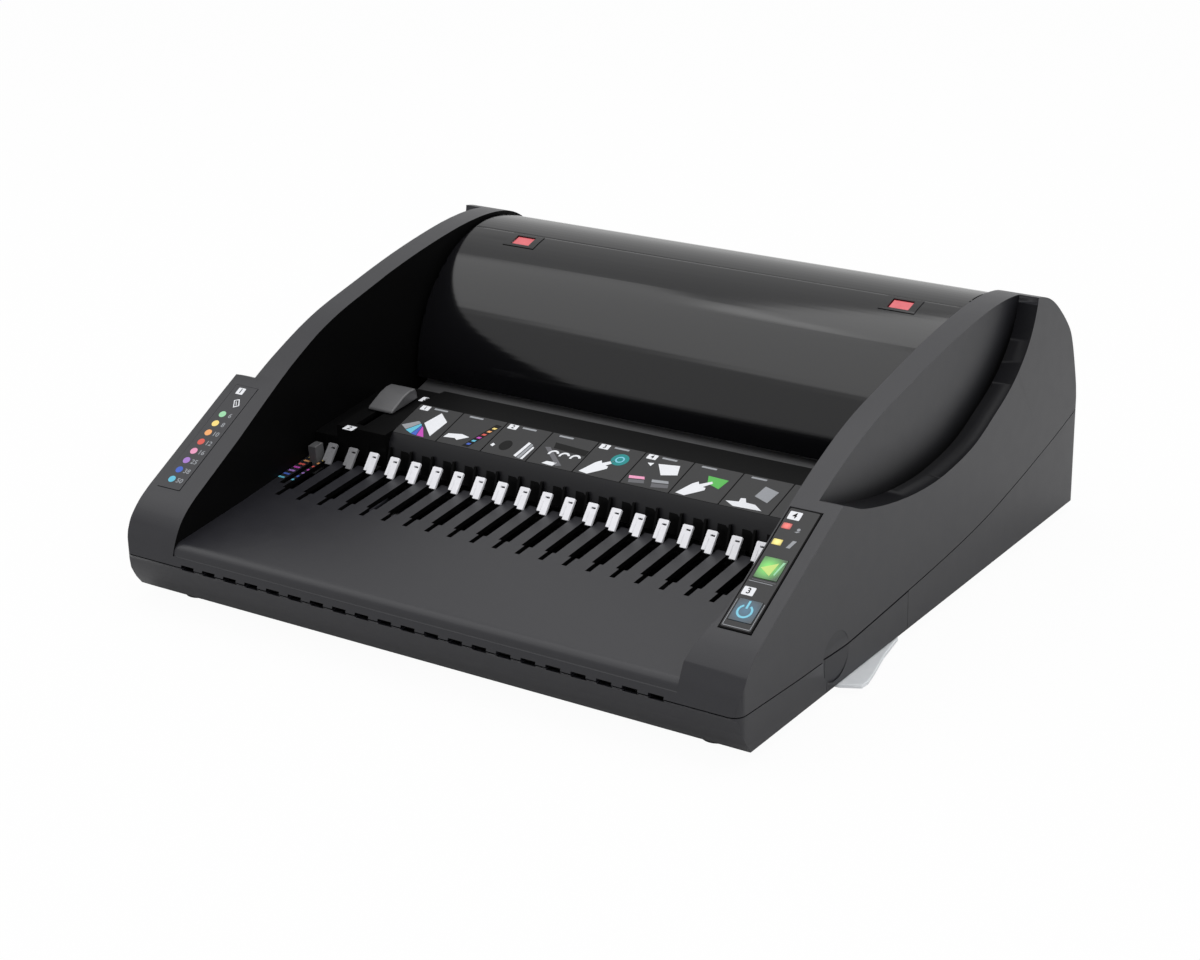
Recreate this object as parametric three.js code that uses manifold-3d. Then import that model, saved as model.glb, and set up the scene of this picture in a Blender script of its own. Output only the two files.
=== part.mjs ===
// Electric comb binding machine with a hinged drum lid, as separate pieces at real size.
// Millimetres: X to the right, Y to the rear, Z up. The machine stands on Z = 0 with the
// middle of its footprint at the origin. Pieces are drawn with Y from the front lip and Z
// from the underside of the base, and the last group moves them to the origin.
import * as THREE from 'three';
import { mergeVertices } from 'three/addons/utils/BufferGeometryUtils.js';
import Module from 'manifold-3d';

const wasm = await Module();
wasm.setup();

// Driving sizes of the case
const caseWidth = 374;
const caseDepth = 374;
const caseHeight = 139.5; // crest of the side arms above the underside of the base
const wall = 2.5;
const cornerRadius = 6;
const footHeight = 3;
const footRadius = 8;
const footInset = 27;
const sideBevel = 2.8;
const partGap = 0.3; // between separate mouldings
const seamGap = 0.6; // shadow line between the two halves of the case
const seatGap = 0.1; // between a piece and what carries it
const runGap = 0.4; // beside a piece that slides or turns
const overrun = 30; // how far a cut runs past what it cuts
const armFrontWidth = 33.5; // from the side of the case to the opening between the arms
const armRearWidth = 26;
const housingDepth = 253; // from the rear end of the deck to the rear of the case

// Comb, deck and hooks
const combPitch = 14.2875; // nine sixteenths of an inch between comb rings
const throatFrontHalf = caseWidth / 2 - armFrontWidth;
const throatRearHalf = caseWidth / 2 - armRearWidth;
const ringCount = Math.floor((2 * throatFrontHalf) / combPitch);
const deckFrontZ = 33.8;
const deckDepth = caseDepth - housingDepth;
const deckSlopeDegrees = 5.22;
const lipRound = 6;
const slotWidth = 6.8;
const slotLength = 39;
const slotTipWidth = 3;
const slotTipLength = 9;
const hookWidth = 6;
const hookThickness = 2;
const hookFaceRun = 5.6;
const hookFaceRise = 8;
const hookBackset = 4; // from the rear end of the deck to the foot of the hooks
const hookTravel = 28;
const hookStem = 9;

// The crescent scooped out of the outer side of each arm
const recessFrontDepth = 14;
const recessRearDepth = 10.5;

// Vents on the front parting line
const ventWidth = 8.5;
const ventHeight = 2.4;

// Console
const consoleGap = 0.5;
const consoleRun = 6; // from the rear end of the deck to the foot of the console
const panelRunIn = 6; // from there to the front edge of its panel
const panelRunY = 27;
const ridgeRunY = 24;
const funnelRunY = 5.4;
const consoleFootY = deckDepth + consoleRun;
const panelFrontY = consoleFootY + panelRunIn;
const panelFrontZ = 63.5;
const panelRearY = panelFrontY + panelRunY;
const panelRearZ = 71.4;
const ridgeY = panelRearY + ridgeRunY;
const ridgeZ = 71;
const funnelY = ridgeY + funnelRunY;
const funnelZ = 49;
const panelInset = 51; // from the rear width of the opening, as the insets below
const panelLeftX = panelInset - throatRearHalf;
const panelThickness = 1;
const dividerWidth = 1.4;
const dividerReach = 6.4; // in front of the console's foot
const dividerFootY = consoleFootY - dividerReach;
const dividerRise = 12;
const ledgeHeight = 18.4; // above the plane of the deck
const ledgeReach = 1;
const ledgeFrontY = consoleFootY - ledgeReach;
const ledgeRightInset = 49;
const ledgeLeftInset = 18.4;
const ledgeRightX = ledgeRightInset - throatRearHalf;
const ledgeLeftX = ledgeLeftInset - throatRearHalf;
const ledgeDrop = 7;

// Opener knob on the ledge
const knobWidth = 17;
const knobLength = 24;
const knobHeight = 7;
const knobInset = 22;
const knobRunY = 24; // from the foot of the console
const knobLeftX = knobInset - throatRearHalf;
const knobFrontY = consoleFootY + knobRunY;
const knobStemWidth = 5;
const knobStemLength = 8;
const carriageThickness = 3;
const carriageLength = 14;
const carriageDrop = 8; // top of the carriage below the deck
const rodRadius = 3;
const rodDrop = 13;
const rodReach = 41; // in front of the rear end of the deck
const rodStart = deckDepth - rodReach;
const rodLength = 64;
const bracketEar = 3;
const bracketHalf = 8;

// Edge guide beside the left arm
const guideReachX = 7.125; // beside the middle of the last hook
const guideReach = 4; // in front of the rear end of the deck
const guideX = ((1 - ringCount) * combPitch) / 2 - guideReachX;
const guideY = deckDepth - guideReach;
const guideWidth = 5;
const guideLength = 7;
const guideHeight = 10;
const guideTravel = 24;
const guideStem = 2.6;

// Lid, a sector of a drum
const hingeShare = 0.910882; // place of the lid's hinge in the depth of the case
const hingeRun = 44.67; // from the middle of the drum to the hinge
const drumY = caseDepth * hingeShare - hingeRun;
const drumZ = 60.5;
const drumRadius = 77;
const lidEndGap = 3;
const lidHalf = throatRearHalf - lidEndGap;
const lidBottomZ = 61.3;
const hingeInset = 7.5;
const hingeDegrees = 40; // behind the top of the drum
const lidRearDegrees = 34;
const pinRadius = 2.5;
const pinHeadRadius = 4.2;
const pinHeadLength = 2;
const endRibDepth = 9;
const windowWidth = 12;
const windowLength = 8;
const windowThickness = 1.2;
const windowSink = 0.4;
const windowLeftInset = 39;
const windowRightInset = 33;
const windowLeftX = windowLeftInset - lidHalf;
const windowRightX = lidHalf - windowRightInset;
const windowDegrees = -16.3;

// Panels on the arms
const armRiseShare = 1.44359; // slope of the arms' front, in case heights per case depth
const controlPlaceShares = [0.152674, 0.522581];
const controlInset = 16.3;
const controlX = caseWidth / 2 - controlInset;
const controlY = caseDepth * controlPlaceShares[0];
const controlZ = caseHeight * controlPlaceShares[1];
const controlWidth = 17.5;
const controlLength = 75.8;
const controlThickness = 1.5;
const controlProud = 0.3;
const buttonWidth = 12.4;
const buttonLength = 13;
const buttonHeight = 4.6;
const buttonProud = 0.6;
const buttonTravel = 0.8;
const lampWidth = 5;
const lampLength = 3.6;
const lampHeight = 2.4;
const panelLedge = 1.4; // what the control panel rests on, all round
const boardWidth = 13.4;
const boardThickness = 1.6;
const boardDrop = 9;
const tactHeight = 2.6;
const tactWidth = 6;
const gaugeInset = 13;
const gaugeX = gaugeInset - caseWidth / 2;
const gaugeWidth = 15;
const gaugeThickness = 0.6;

// Waste drawer
const trayReach = 29; // in front of the rear end of the deck
const trayDepth = 68;
const trayFrontY = deckDepth - trayReach;
const trayRearY = trayFrontY + trayDepth;
const trayInset = 13;
const trayHalf = throatRearHalf - trayInset;
const trayHeight = 16;
const trayWall = 1.8;
const trayFloorZ = 3;
const drawerFrontMargin = 9;
const drawerRearMargin = 7;
const drawerFrontY = trayFrontY - drawerFrontMargin;
const drawerRearY = trayRearY + drawerRearMargin;
const drawerBottomZ = 3;
const lipReach = 10.5;
const lipThickness = 2.2;
const lipBottomZ = 0.3;
const scoopRun = 8.5; // from the front edge of the drawer
const scoopY = drawerFrontY + scoopRun;
const scoopZ = 18.5;
const scoopRadius = 13;
const scoopSink = 1.6;

// Punch and drive
const dieGap = 0.6; // behind the foot of the console's funnel
const dieY = funnelY + dieGap;
const dieThickness = 4;
const paperGap = 3;
const dieBottomZ = 14;
const dieTopZ = 48;
const punchZ = 41;
const punchWidth = 8;
const punchHeight = 3;
const punchFit = 0.12;
const punchStroke = 8;
const punchRest = 0.5; // punch tips behind the front face of the rear die plate
const barGap = 9; // behind the rear die plate
const barY = dieY + dieThickness * 2 + paperGap + barGap;
const barThickness = 8;
const barBottomZ = 24;
const springRadius = 4.5;
const springWire = 1.1;
const springTurns = 5;
const springX = combPitch * 5.5; // between two punches
const springZ = 31;
const pocketDepth = 6;
const frameGap = 1.125; // beside the last punch
const frameInner = ((ringCount - 1) * combPitch + punchWidth) / 2 + frameGap;
const dieHalf = frameInner - runGap;
const frameThickness = 3;
const frameLength = 116; // behind the punch bar
const frameRearY = barY + frameLength;
const supportInset = 48; // of the outer cams and the guide rods from the side frames
const rodX = frameInner - supportInset;
const shaftZ = 36;
const shaftRadius = 5;
const camBase = 9.5;
const camGap = 0.6;
const camWidth = 12;
const camSpacing = frameInner - supportInset;
const bushRadius = 8;
const bushLength = 4.4;
const camGearGap = 1;
const innerGearInset = 10;
const gearModule = 1.25;
const camGearTeeth = 22;
const pinionTeeth = 10;
const idlerGearTeeth = 20;
const outerGearX = frameInner + frameThickness + camGearGap;
const outerGearWidth = 5.5;
const innerGearX = frameInner - innerGearInset;
const innerGearWidth = 6;
const idlerShaftRadius = 3;
const motorRadius = 17;
const motorLength = 60;
const motorNose = 4;
const motorNoseRadius = 6;
const motorShaftRadius = 2.5;
const motorRiseDegrees = 20;
const bracketThickness = 2;
const fitGap = 0.12; // round a shaft in its bush or bore
const chuteThickness = 1.5;
const coverZ = 84;

// Electrics and fasteners
const inletInset = 32; // from the side frame
const inletX = inletInset - frameInner;
const inletWidth = 29;
const inletHeight = 21;
const inletDepth = 16;
const inletZ = 24;
const inletFlange = 2.5;
const inletWall = 3;
const contactWidth = 4;
const contactThickness = 2;
const contactPitch = 7;
const screwRadius = 1.6;
const screwHeadRadius = 3.4;
const screwHeadHeight = 1.4;
const screwLength = 30;
const bossRadius = 4.2;
const bossInset = 9;
const frontBossShare = 0.721; // of the way back to the drawer
const rearBossShare = 0.88; // of the depth of the case
const bossTopZ = 48;
const bossBottomZ = 22;

// Outline shares, of the case depth along Y and of the case height along Z, front to rear
const crestShares = [
  [0.0005, 0.175], [0.0055, 0.199], [0.0087, 0.244], [0.0202, 0.301], [0.0445, 0.362], [0.1095, 0.4595],
  [0.1761, 0.5556], [0.244, 0.6538], [0.3061, 0.7355], [0.3956, 0.8287], [0.498, 0.8939], [0.6042, 0.9505],
  [0.7068, 0.9892], [0.7741, 1], [0.8237, 0.9928], [0.8638, 0.9677], [0.8985, 0.914], [0.9413, 0.8079],
  [0.96, 0.7362], [0.9787, 0.5771], [0.9917, 0.43],
];
const seamShares = [
  [0, 0.1685], [0.0505, 0.1606], [0.1497, 0.1484], [0.2406, 0.1427], [0.2754, 0.1448], [0.3636, 0.157],
  [0.5401, 0.1864], [0.6658, 0.2194], [0.7781, 0.2731], [0.9064, 0.3505], [0.9917, 0.4122],
];
const hullFrontShares = [
  [0.0414, 0], [0.0296, 0.02], [0.0198, 0.055], [0.0096, 0.106], [0.0059, 0.15],
];
const hullRearShares = [
  [0.98, 0], [0.992, 0.0143], [0.9997, 0.0573], [1, 0.215], [0.9987, 0.287],
];
const crescentShares = [
  [0.2529, 0.68], [0.2782, 0.6538], [0.2942, 0.6308], [0.321, 0.6057], [0.3825, 0.5663], [0.4431, 0.5398],
  [0.4974, 0.5276], [0.5536, 0.529], [0.6365, 0.5613], [0.7025, 0.6315], [0.7528, 0.696], [0.7916, 0.7778],
  [0.8156, 0.8602], [0.8316, 0.9606], [0.837, 1.1],
];
// Half width of the opening, from front to rear, as a share of the way from its front to its rear size
const leftTaperShares = [[-0.1, 0], [0, 0], [0.16, 0.2], [0.355, 0.8], [0.535, 1], [1.1, 1]];
const rightTaperShares = [[-0.1, 0], [0.02, 0], [0.09, 1], [0.535, 1], [1.1, 1]];
const knobShares = [[0, 0], [0.03, 0.25], [0.5, 0.85], [0.75, 1], [0.95, 0.95], [1, 0.6], [1, 0]];
const pullLipShares = [[-1, 0], [0, 0], [0.08, 0.97], [0.17, 1], [0.3, 0.85], [0.62, 0.38], [1, 0]];

const roundSides = 24;
const drumSteps = 48;
const lipSteps = 6;
const cornerSteps = 5;
const seamSteps = 34;
const crestSteps = 46;
const crescentSteps = 26;
const camSteps = 36;
const springStepsPerTurn = 8;
const springSides = 5;

const halfWidth = caseWidth / 2;
const slope = THREE.MathUtils.degToRad(deckSlopeDegrees);
const armSlope = Math.atan((armRiseShare * caseHeight) / caseDepth);

// Solids from geometry, and geometry from solids
function solidOf(geometry) {
  const bare = geometry.clone();
  bare.deleteAttribute('normal');
  bare.deleteAttribute('uv');
  const merged = mergeVertices(bare);
  return new wasm.Manifold(new wasm.Mesh({
    numProp: 3,
    vertProperties: new Float32Array(merged.attributes.position.array),
    triVerts: new Uint32Array(merged.index.array),
  }));
}

function geometryOf(solid) {
  const mesh = solid.getMesh();
  const shared = new THREE.BufferGeometry();
  shared.setAttribute('position', new THREE.BufferAttribute(mesh.vertProperties, 3));
  shared.setIndex(new THREE.BufferAttribute(mesh.triVerts, 1));
  const geometry = shared.toNonIndexed();
  geometry.computeVertexNormals();
  return geometry;
}

const axisX = new THREE.Vector3(1, 0, 0);
const axisY = new THREE.Vector3(0, 1, 0);
const axisZ = new THREE.Vector3(0, 0, 1);

function prism(outline, length, u, v, w, start) {
  const shape = new THREE.Shape(outline.map(([a, b]) => new THREE.Vector2(a, b)));
  const geometry = new THREE.ExtrudeGeometry(shape, { depth: length, bevelEnabled: false });
  geometry.applyMatrix4(new THREE.Matrix4().makeBasis(u, v, w).setPosition(start));
  return solidOf(geometry);
}

// An outline of [y, z] along X, of [x, z] along Y and of [x, y] along Z
const alongX = (outline, from, to) =>
  prism(outline, to - from, axisY, axisZ, axisX, new THREE.Vector3(from, 0, 0));
const alongY = (outline, from, to) =>
  prism(outline, to - from, axisX, axisZ, axisY.clone().negate(), new THREE.Vector3(0, to, 0));
const alongZ = (outline, from, to) =>
  prism(outline, to - from, axisX, axisY, axisZ, new THREE.Vector3(0, 0, from));

const rectangle = (a0, a1, b0, b1) => [[a0, b0], [a1, b0], [a1, b1], [a0, b1]];
const box = (x0, x1, y0, y1, z0, z1) => alongZ(rectangle(x0, x1, y0, y1), z0, z1);

function circle(a, b, radius, sides = roundSides) {
  return Array.from({ length: sides }, (_, i) => {
    const turn = (2 * Math.PI * i) / sides;
    return [a + radius * Math.cos(turn), b + radius * Math.sin(turn)];
  });
}

function placed(solid, rotation, position) {
  const turn = new THREE.Matrix4().makeRotationFromEuler(rotation).setPosition(position);
  return solidOf(geometryOf(solid).applyMatrix4(turn));
}

const union = (...solids) => solids.reduce((sum, solid) => sum.add(solid));
const cut = (solid, ...tools) => tools.reduce((rest, tool) => rest.subtract(tool), solid);

// Outlines
const scaled = (shares) => shares.map(([y, z]) => [y * caseDepth, z * caseHeight]);

function smooth(points, steps) {
  const curve = new THREE.SplineCurve(points.map(([a, b]) => new THREE.Vector2(a, b)));
  return curve.getSpacedPoints(steps).map((p) => [p.x, p.y]);
}

function moved(points, a, b) {
  return points.map(([p, q]) => [p + a, q + b]);
}

// Moves each point of an open line sideways, to its left when the distance is positive
function sideways(points, distance) {
  return points.map((point, i) => {
    const before = points[Math.max(i - 1, 0)];
    const after = points[Math.min(i + 1, points.length - 1)];
    const run = (p, q) => new THREE.Vector2(q[0] - p[0], q[1] - p[1]).normalize();
    const first = i > 0 ? run(before, point) : run(point, after);
    const last = i < points.length - 1 ? run(point, after) : first;
    const mean = first.clone().add(last).normalize();
    const reach = distance / Math.max(mean.dot(first), 0.5);
    return [point[0] - mean.y * reach, point[1] + mean.x * reach];
  });
}

// A bent sheet: a line and the same line moved sideways by the sheet's thickness
const sheet = (points, thickness) => [...points, ...sideways(points, thickness).reverse()];

const seamLine = smooth(scaled(seamShares), seamSteps);
const crestLine = smooth(scaled(crestShares), crestSteps);
const crescentLine = smooth(scaled(crescentShares), crescentSteps);

function seamHeight(y) {
  const next = Math.max(1, seamLine.findIndex((p) => p[0] >= y));
  const [a, b] = [seamLine[next - 1], seamLine[next]];
  return a[1] + ((b[1] - a[1]) * (y - a[0])) / (b[0] - a[0]);
}

const deckHeight = (y) => deckFrontZ + y * Math.tan(slope);
const deckRearZ = deckHeight(deckDepth);
const deckThickness = wall * (Math.cos(slope) + Math.sin(slope));

// Turns a solid drawn on the deck (Y along the deck, Z square to it) into its place
const onDeck = (solid) =>
  placed(solid, new THREE.Euler(slope, 0, 0), new THREE.Vector3(0, 0, deckFrontZ));
const onArm = (solid, x) =>
  placed(solid, new THREE.Euler(armSlope, 0, 0), new THREE.Vector3(x, controlY, controlZ));

function roundedPlan(inset) {
  const radius = cornerRadius - inset;
  const points = [];
  const corners = [[1, 1], [-1, 1], [-1, -1], [1, -1]];
  corners.forEach(([sideX, sideY], quarter) => {
    const x = sideX * (halfWidth - cornerRadius);
    const y = caseDepth / 2 + sideY * (caseDepth / 2 - cornerRadius);
    for (let i = 0; i <= cornerSteps; i += 1) {
      const turn = (Math.PI / 2) * (quarter + i / cornerSteps);
      points.push([x + radius * Math.cos(turn), y + radius * Math.sin(turn)]);
    }
  });
  return points;
}

function throatPlan(spread) {
  const side = (shares, sign) => shares.map(([y, t]) => {
    const half = throatFrontHalf + (throatRearHalf - throatFrontHalf) * t + spread;
    return [sign * half, y * caseDepth];
  });
  return [...side(leftTaperShares, -1).reverse(), ...side(rightTaperShares, 1)];
}

const bottomZ = -overrun;
const topZ = caseHeight + overrun;
const rearY = caseDepth + overrun;

// Everything above the deck, lowered by the wall where it shapes the inside of the case
function aboveDeck(lowered) {
  const lip = [];
  const start = caseDepth * hullFrontShares[hullFrontShares.length - 1][0];
  for (let i = 0; i <= lipSteps; i += 1) {
    const turn = (Math.PI / 2) * (i / lipSteps);
    const y = start + lipRound * (1 - Math.cos(turn));
    const z = deckHeight(start + lipRound) - lipRound * (1 - Math.sin(turn));
    lip.push([y + lowered, z - lowered]);
  }
  const floor = [[-overrun, lip[0][1]], ...lip, [rearY, deckHeight(rearY - lowered) - lowered]];
  return [...floor, [rearY, topZ], [-overrun, topZ]];
}

// The crescent scooped out of both arms, or the same grown on all sides by a wall
function recess(grow) {
  const edge = sideways(crescentLine, -grow);
  const outline = [...edge, [edge[edge.length - 1][0], topZ], [edge[0][0] - grow, topZ]];
  const across = halfWidth + overrun;
  const plan = [
    [halfWidth - recessFrontDepth - grow, 0], [across, 0], [across, caseDepth],
    [halfWidth - recessRearDepth - grow, caseDepth],
  ];
  const flipped = plan.map(([x, y]) => [-x, y]).reverse();
  const sides = union(alongZ(plan, bottomZ, topZ), alongZ(flipped, bottomZ, topZ));
  return alongX(outline, -across, across).intersect(sides);
}

const scoopTool = placed(
  alongX(circle(0, 0, scoopRadius), 0, overrun),
  new THREE.Euler(0, 0, -Math.atan(scoopSink / (2 * scoopRadius))),
  new THREE.Vector3(halfWidth - scoopSink / 2, scoopY, scoopZ),
);

const ringXs = Array.from({ length: ringCount }, (_, i) => (i - (ringCount - 1) / 2) * combPitch);
const bossYs = [drawerFrontY * frontBossShare, caseDepth * rearBossShare];
const bossX = halfWidth - bossInset;

// Upper case: front lip, deck and two hollow arms in one moulding
function upperCase() {
  const bottom = moved(seamLine, 0, seamGap);
  const outside = alongX([...bottom, ...crestLine.slice().reverse()], -halfWidth, halfWidth);
  const inner = sideways(crestLine, -wall);
  const inside = [[inner[0][0], bottomZ], [caseDepth - wall, bottomZ], ...inner.slice().reverse()];
  const shellX = halfWidth - wall;
  let hollow = alongX(inside, -shellX, shellX).intersect(alongZ(roundedPlan(wall), bottomZ, topZ));
  const behindDeck = rectangle(deckDepth, rearY, bottomZ, topZ);
  const across = halfWidth + overrun;
  const thickThroat = alongZ(throatPlan(wall), bottomZ, topZ);
  hollow = cut(hollow, thickThroat.intersect(alongX(aboveDeck(wall), -across, across)));
  hollow = cut(hollow, thickThroat.intersect(alongX(behindDeck, -across, across)));
  hollow = cut(hollow, recess(wall));
  const throat = alongZ(throatPlan(0), bottomZ, topZ);
  let body = outside.intersect(alongZ(roundedPlan(0), bottomZ, topZ));
  body = cut(body, throat.intersect(alongX(aboveDeck(0), -across, across)));
  body = cut(body, throat.intersect(alongX(behindDeck, -across, across)));
  body = cut(body, recess(0), hollow);
  const deckEnd = deckDepth / Math.cos(slope);
  ringXs.forEach((x) => {
    const slot = box(x - slotWidth / 2, x + slotWidth / 2, deckEnd - slotLength, deckEnd + overrun, -overrun, overrun);
    const tipEnd = deckEnd - slotLength;
    const tip = box(x - slotTipWidth / 2, x + slotTipWidth / 2, tipEnd - slotTipLength, tipEnd + slotWidth,
      -overrun, overrun);
    body = cut(body, onDeck(union(slot, tip)));
  });
  const guideRun = guideTravel + guideLength;
  body = cut(body, onDeck(box(guideX - guideStem / 2 - runGap, guideX + guideStem / 2 + runGap,
    guideY - guideRun, guideY + guideLength / 2 + runGap, -overrun, overrun)));
  ringXs.forEach((x) => {
    const vent = rectangle(x - ventWidth / 2, x + ventWidth / 2, bottomZ, seamHeight(0) + seamGap + ventHeight / 2);
    body = cut(body, alongY(vent, -overrun, wall * 2));
  });
  [-1, 1].forEach((side) => bossYs.forEach((y) => {
    const x = side * bossX;
    const rib = rectangle(Math.min(x, side * (halfWidth - wall / 2)), Math.max(x, side * (halfWidth - wall / 2)),
      y - wall / 2, y + wall / 2);
    const top = y > drumY ? bossTopZ * 2 : bossTopZ;
    const foot = Math.max(bossBottomZ, seamHeight(y) + wall);
    const hole = alongZ(circle(x, y, screwRadius + seatGap), bottomZ, top - wall);
    body = cut(union(body, alongZ(circle(x, y, bossRadius), foot, top), alongZ(rib, foot, top)), hole);
  }));
  const pinHole = alongX(circle(hinge[0], hinge[1], pinRadius + fitGap), -frameInner - overrun, frameInner + overrun);
  const pinEnd = halfWidth - recessFrontDepth;
  body = cut(body, pinHole.intersect(box(-pinEnd, pinEnd, 0, rearY, 0, topZ)), scoopTool);
  const pocket = box(-controlWidth / 2 - partGap, controlWidth / 2 + partGap, -controlLength / 2 - partGap,
    controlLength / 2 + partGap, -controlThickness, overrun);
  const gaugePocket = box(-gaugeWidth / 2 - partGap, gaugeWidth / 2 + partGap, -controlLength / 2 - partGap,
    controlLength / 2 + partGap, -gaugeThickness, overrun);
  const windowX = controlWidth / 2 - panelLedge;
  const windowY = controlLength / 2 - panelLedge;
  const window = box(-windowX, windowX, -windowY, windowY, -overrun / 2, overrun);
  return cut(body, onArm(union(pocket, window), controlX), onArm(gaugePocket, gaugeX));
}

// Base pan: hull-shaped tray with rounded corners, open at the top
function basePan() {
  const hull = [...scaled(hullFrontShares).reverse(), ...scaled(hullRearShares)];
  const outline = [...hull, ...seamLine.slice().reverse()];
  const bevelled = [
    [-halfWidth, sideBevel], [sideBevel - halfWidth, 0], [halfWidth - sideBevel, 0], [halfWidth, sideBevel],
    [halfWidth, topZ], [-halfWidth, topZ],
  ];
  const block = alongX(outline, -halfWidth, halfWidth).intersect(alongZ(roundedPlan(0), bottomZ, topZ));
  const body = block.intersect(alongY(bevelled, -overrun, rearY));
  const shellX = halfWidth - wall;
  const front = scaled(hullFrontShares);
  const rear = moved([...scaled(hullRearShares).slice(1), seamLine[seamLine.length - 1]], -wall, 0);
  const inside = [
    [front[0][0], wall], [rear[0][0] - wall, wall], ...rear.slice(1), [rear[rear.length - 1][0], topZ],
    [front[4][0] + wall, topZ], [front[4][0] + wall, front[4][1]], [front[2][0] + wall, front[2][1]],
  ];
  let pan = cut(body, alongX(inside, -shellX, shellX).intersect(alongZ(roundedPlan(wall), 0, topZ)));
  ringXs.forEach((x) => {
    const vent = rectangle(x - ventWidth / 2, x + ventWidth / 2, seamHeight(0) - ventHeight / 2, topZ);
    pan = cut(pan, alongY(vent, -overrun, wall * 2));
  });
  pan = cut(pan, box(shellX - wall, halfWidth + overrun, drawerFrontY - partGap, drawerRearY + partGap,
    drawerBottomZ - partGap, topZ));
  pan = cut(pan, box(shellX - wall * 2, halfWidth + overrun, trayFrontY + wall, trayRearY - wall,
    bottomZ, drawerBottomZ));
  pan = cut(pan, scoopTool);
  const inletHole = rectangle(inletX - inletWidth / 2 - partGap, inletX + inletWidth / 2 + partGap,
    inletZ - inletHeight / 2 - partGap, inletZ + inletHeight / 2 + partGap);
  pan = cut(pan, alongY(inletHole, caseDepth - wall * 3, rearY));
  [-1, 1].forEach((side) => bossYs.forEach((y) => {
    pan = cut(pan, alongZ(circle(side * bossX, y, screwRadius + fitGap), bottomZ, wall * 2));
    pan = cut(pan, alongZ(circle(side * bossX, y, screwHeadRadius + partGap), bottomZ, screwHeadHeight));
  }));
  return pan;
}

// Console behind the hooks: sloped panel seat, flat top, ridge, funnel face, dividers and ledge
function consoleBody() {
  const face = [
    [consoleFootY, deckRearZ], [consoleFootY + wall, panelFrontZ - wall * 2], [panelFrontY, panelFrontZ],
    [panelRearY, panelRearZ], [ridgeY, ridgeZ], [funnelY, funnelZ],
  ];
  const across = throatRearHalf + overrun;
  const main = alongX(sheet(face, -wall), ledgeRightX, across);
  const ledgeZ = (y) => deckHeight(y) + ledgeHeight / Math.cos(slope);
  const ledgeFace = [
    [ledgeFrontY, deckRearZ], [ledgeFrontY, ledgeZ(ledgeFrontY)], [ridgeY, ledgeZ(ridgeY)], [funnelY, funnelZ],
  ];
  const ledge = alongX(sheet(ledgeFace, -wall), ledgeLeftX, ledgeRightX + wall);
  const low = ledgeFace.map(([y, z]) => [y, z > funnelZ ? z - ledgeDrop : z]);
  const shelf = alongX(sheet(low, -wall), -across, ledgeLeftX + wall);
  const solidLedge = alongX(ledgeFace, ledgeRightX, ledgeRightX + wall);
  const solidMain = alongX([...face], ledgeRightX, ledgeRightX + wall);
  const step = alongX(ledgeFace, ledgeLeftX, ledgeLeftX + wall);
  let body = union(main, ledge, shelf, solidLedge, solidMain, step);
  for (let i = 0; i <= ringCount; i += 1) {
    const x = (i - ringCount / 2) * combPitch;
    const front = x < ledgeRightX ? ledgeFrontY : consoleFootY;
    const fin = [
      [dividerFootY + wall, deckRearZ], [front + wall / 2, deckRearZ],
      [front + wall / 2, deckRearZ + dividerRise], [front, deckRearZ + dividerRise],
    ];
    body = union(body, alongX(fin, x - dividerWidth / 2, x + dividerWidth / 2));
  }
  body = body.intersect(alongZ(throatPlan(-consoleGap), bottomZ, topZ));
  const tilt = Math.atan2(panelRearZ - panelFrontZ, panelRearY - panelFrontY);
  const seat = placed(box(panelLeftX, throatRearHalf - wall * 2, wall, panelRun - wall, -panelThickness, overrun),
    new THREE.Euler(tilt, 0, 0), new THREE.Vector3(0, panelFrontY, panelFrontZ));
  const slotRun = onDeck(box(knobLeftX + (knobWidth - knobStemWidth) / 2 - runGap,
    knobLeftX + (knobWidth + knobStemWidth) / 2 + runGap, knobStemY - hookTravel - runGap,
    knobStemY + knobStemLength + runGap, 0, overrun));
  return cut(body, seat, slotRun);
}

const panelRun = Math.hypot(panelRearZ - panelFrontZ, panelRearY - panelFrontY);
const knobStemY = knobFrontY + knobLength - knobStemLength - wall * 2;

function instructionPanel() {
  const tilt = Math.atan2(panelRearZ - panelFrontZ, panelRearY - panelFrontY);
  const plate = box(panelLeftX + partGap, throatRearHalf - wall * 2 - partGap, wall + partGap,
    panelRun - wall - partGap, -panelThickness + seatGap, seatGap);
  return placed(plate, new THREE.Euler(tilt, 0, 0), new THREE.Vector3(0, panelFrontY, panelFrontZ));
}

// Lid: a sector of a drum with end ribs and hinge ears
function drumPoint(degrees, radius) {
  const turn = THREE.MathUtils.degToRad(degrees);
  return [drumY + radius * Math.sin(turn), drumZ + radius * Math.cos(turn)];
}

const lidFrontDegrees = -THREE.MathUtils.radToDeg(Math.acos((lidBottomZ - drumZ) / drumRadius));
const hinge = drumPoint(hingeDegrees, drumRadius - hingeInset);
const lidEdge = drumPoint(lidRearDegrees, drumRadius);

function drumSector(from, to, inner, outer) {
  const arc = (radius) => Array.from({ length: drumSteps + 1 }, (_, i) =>
    drumPoint(from + ((to - from) * i) / drumSteps, radius));
  return [...arc(outer), ...arc(inner).reverse()];
}

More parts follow.
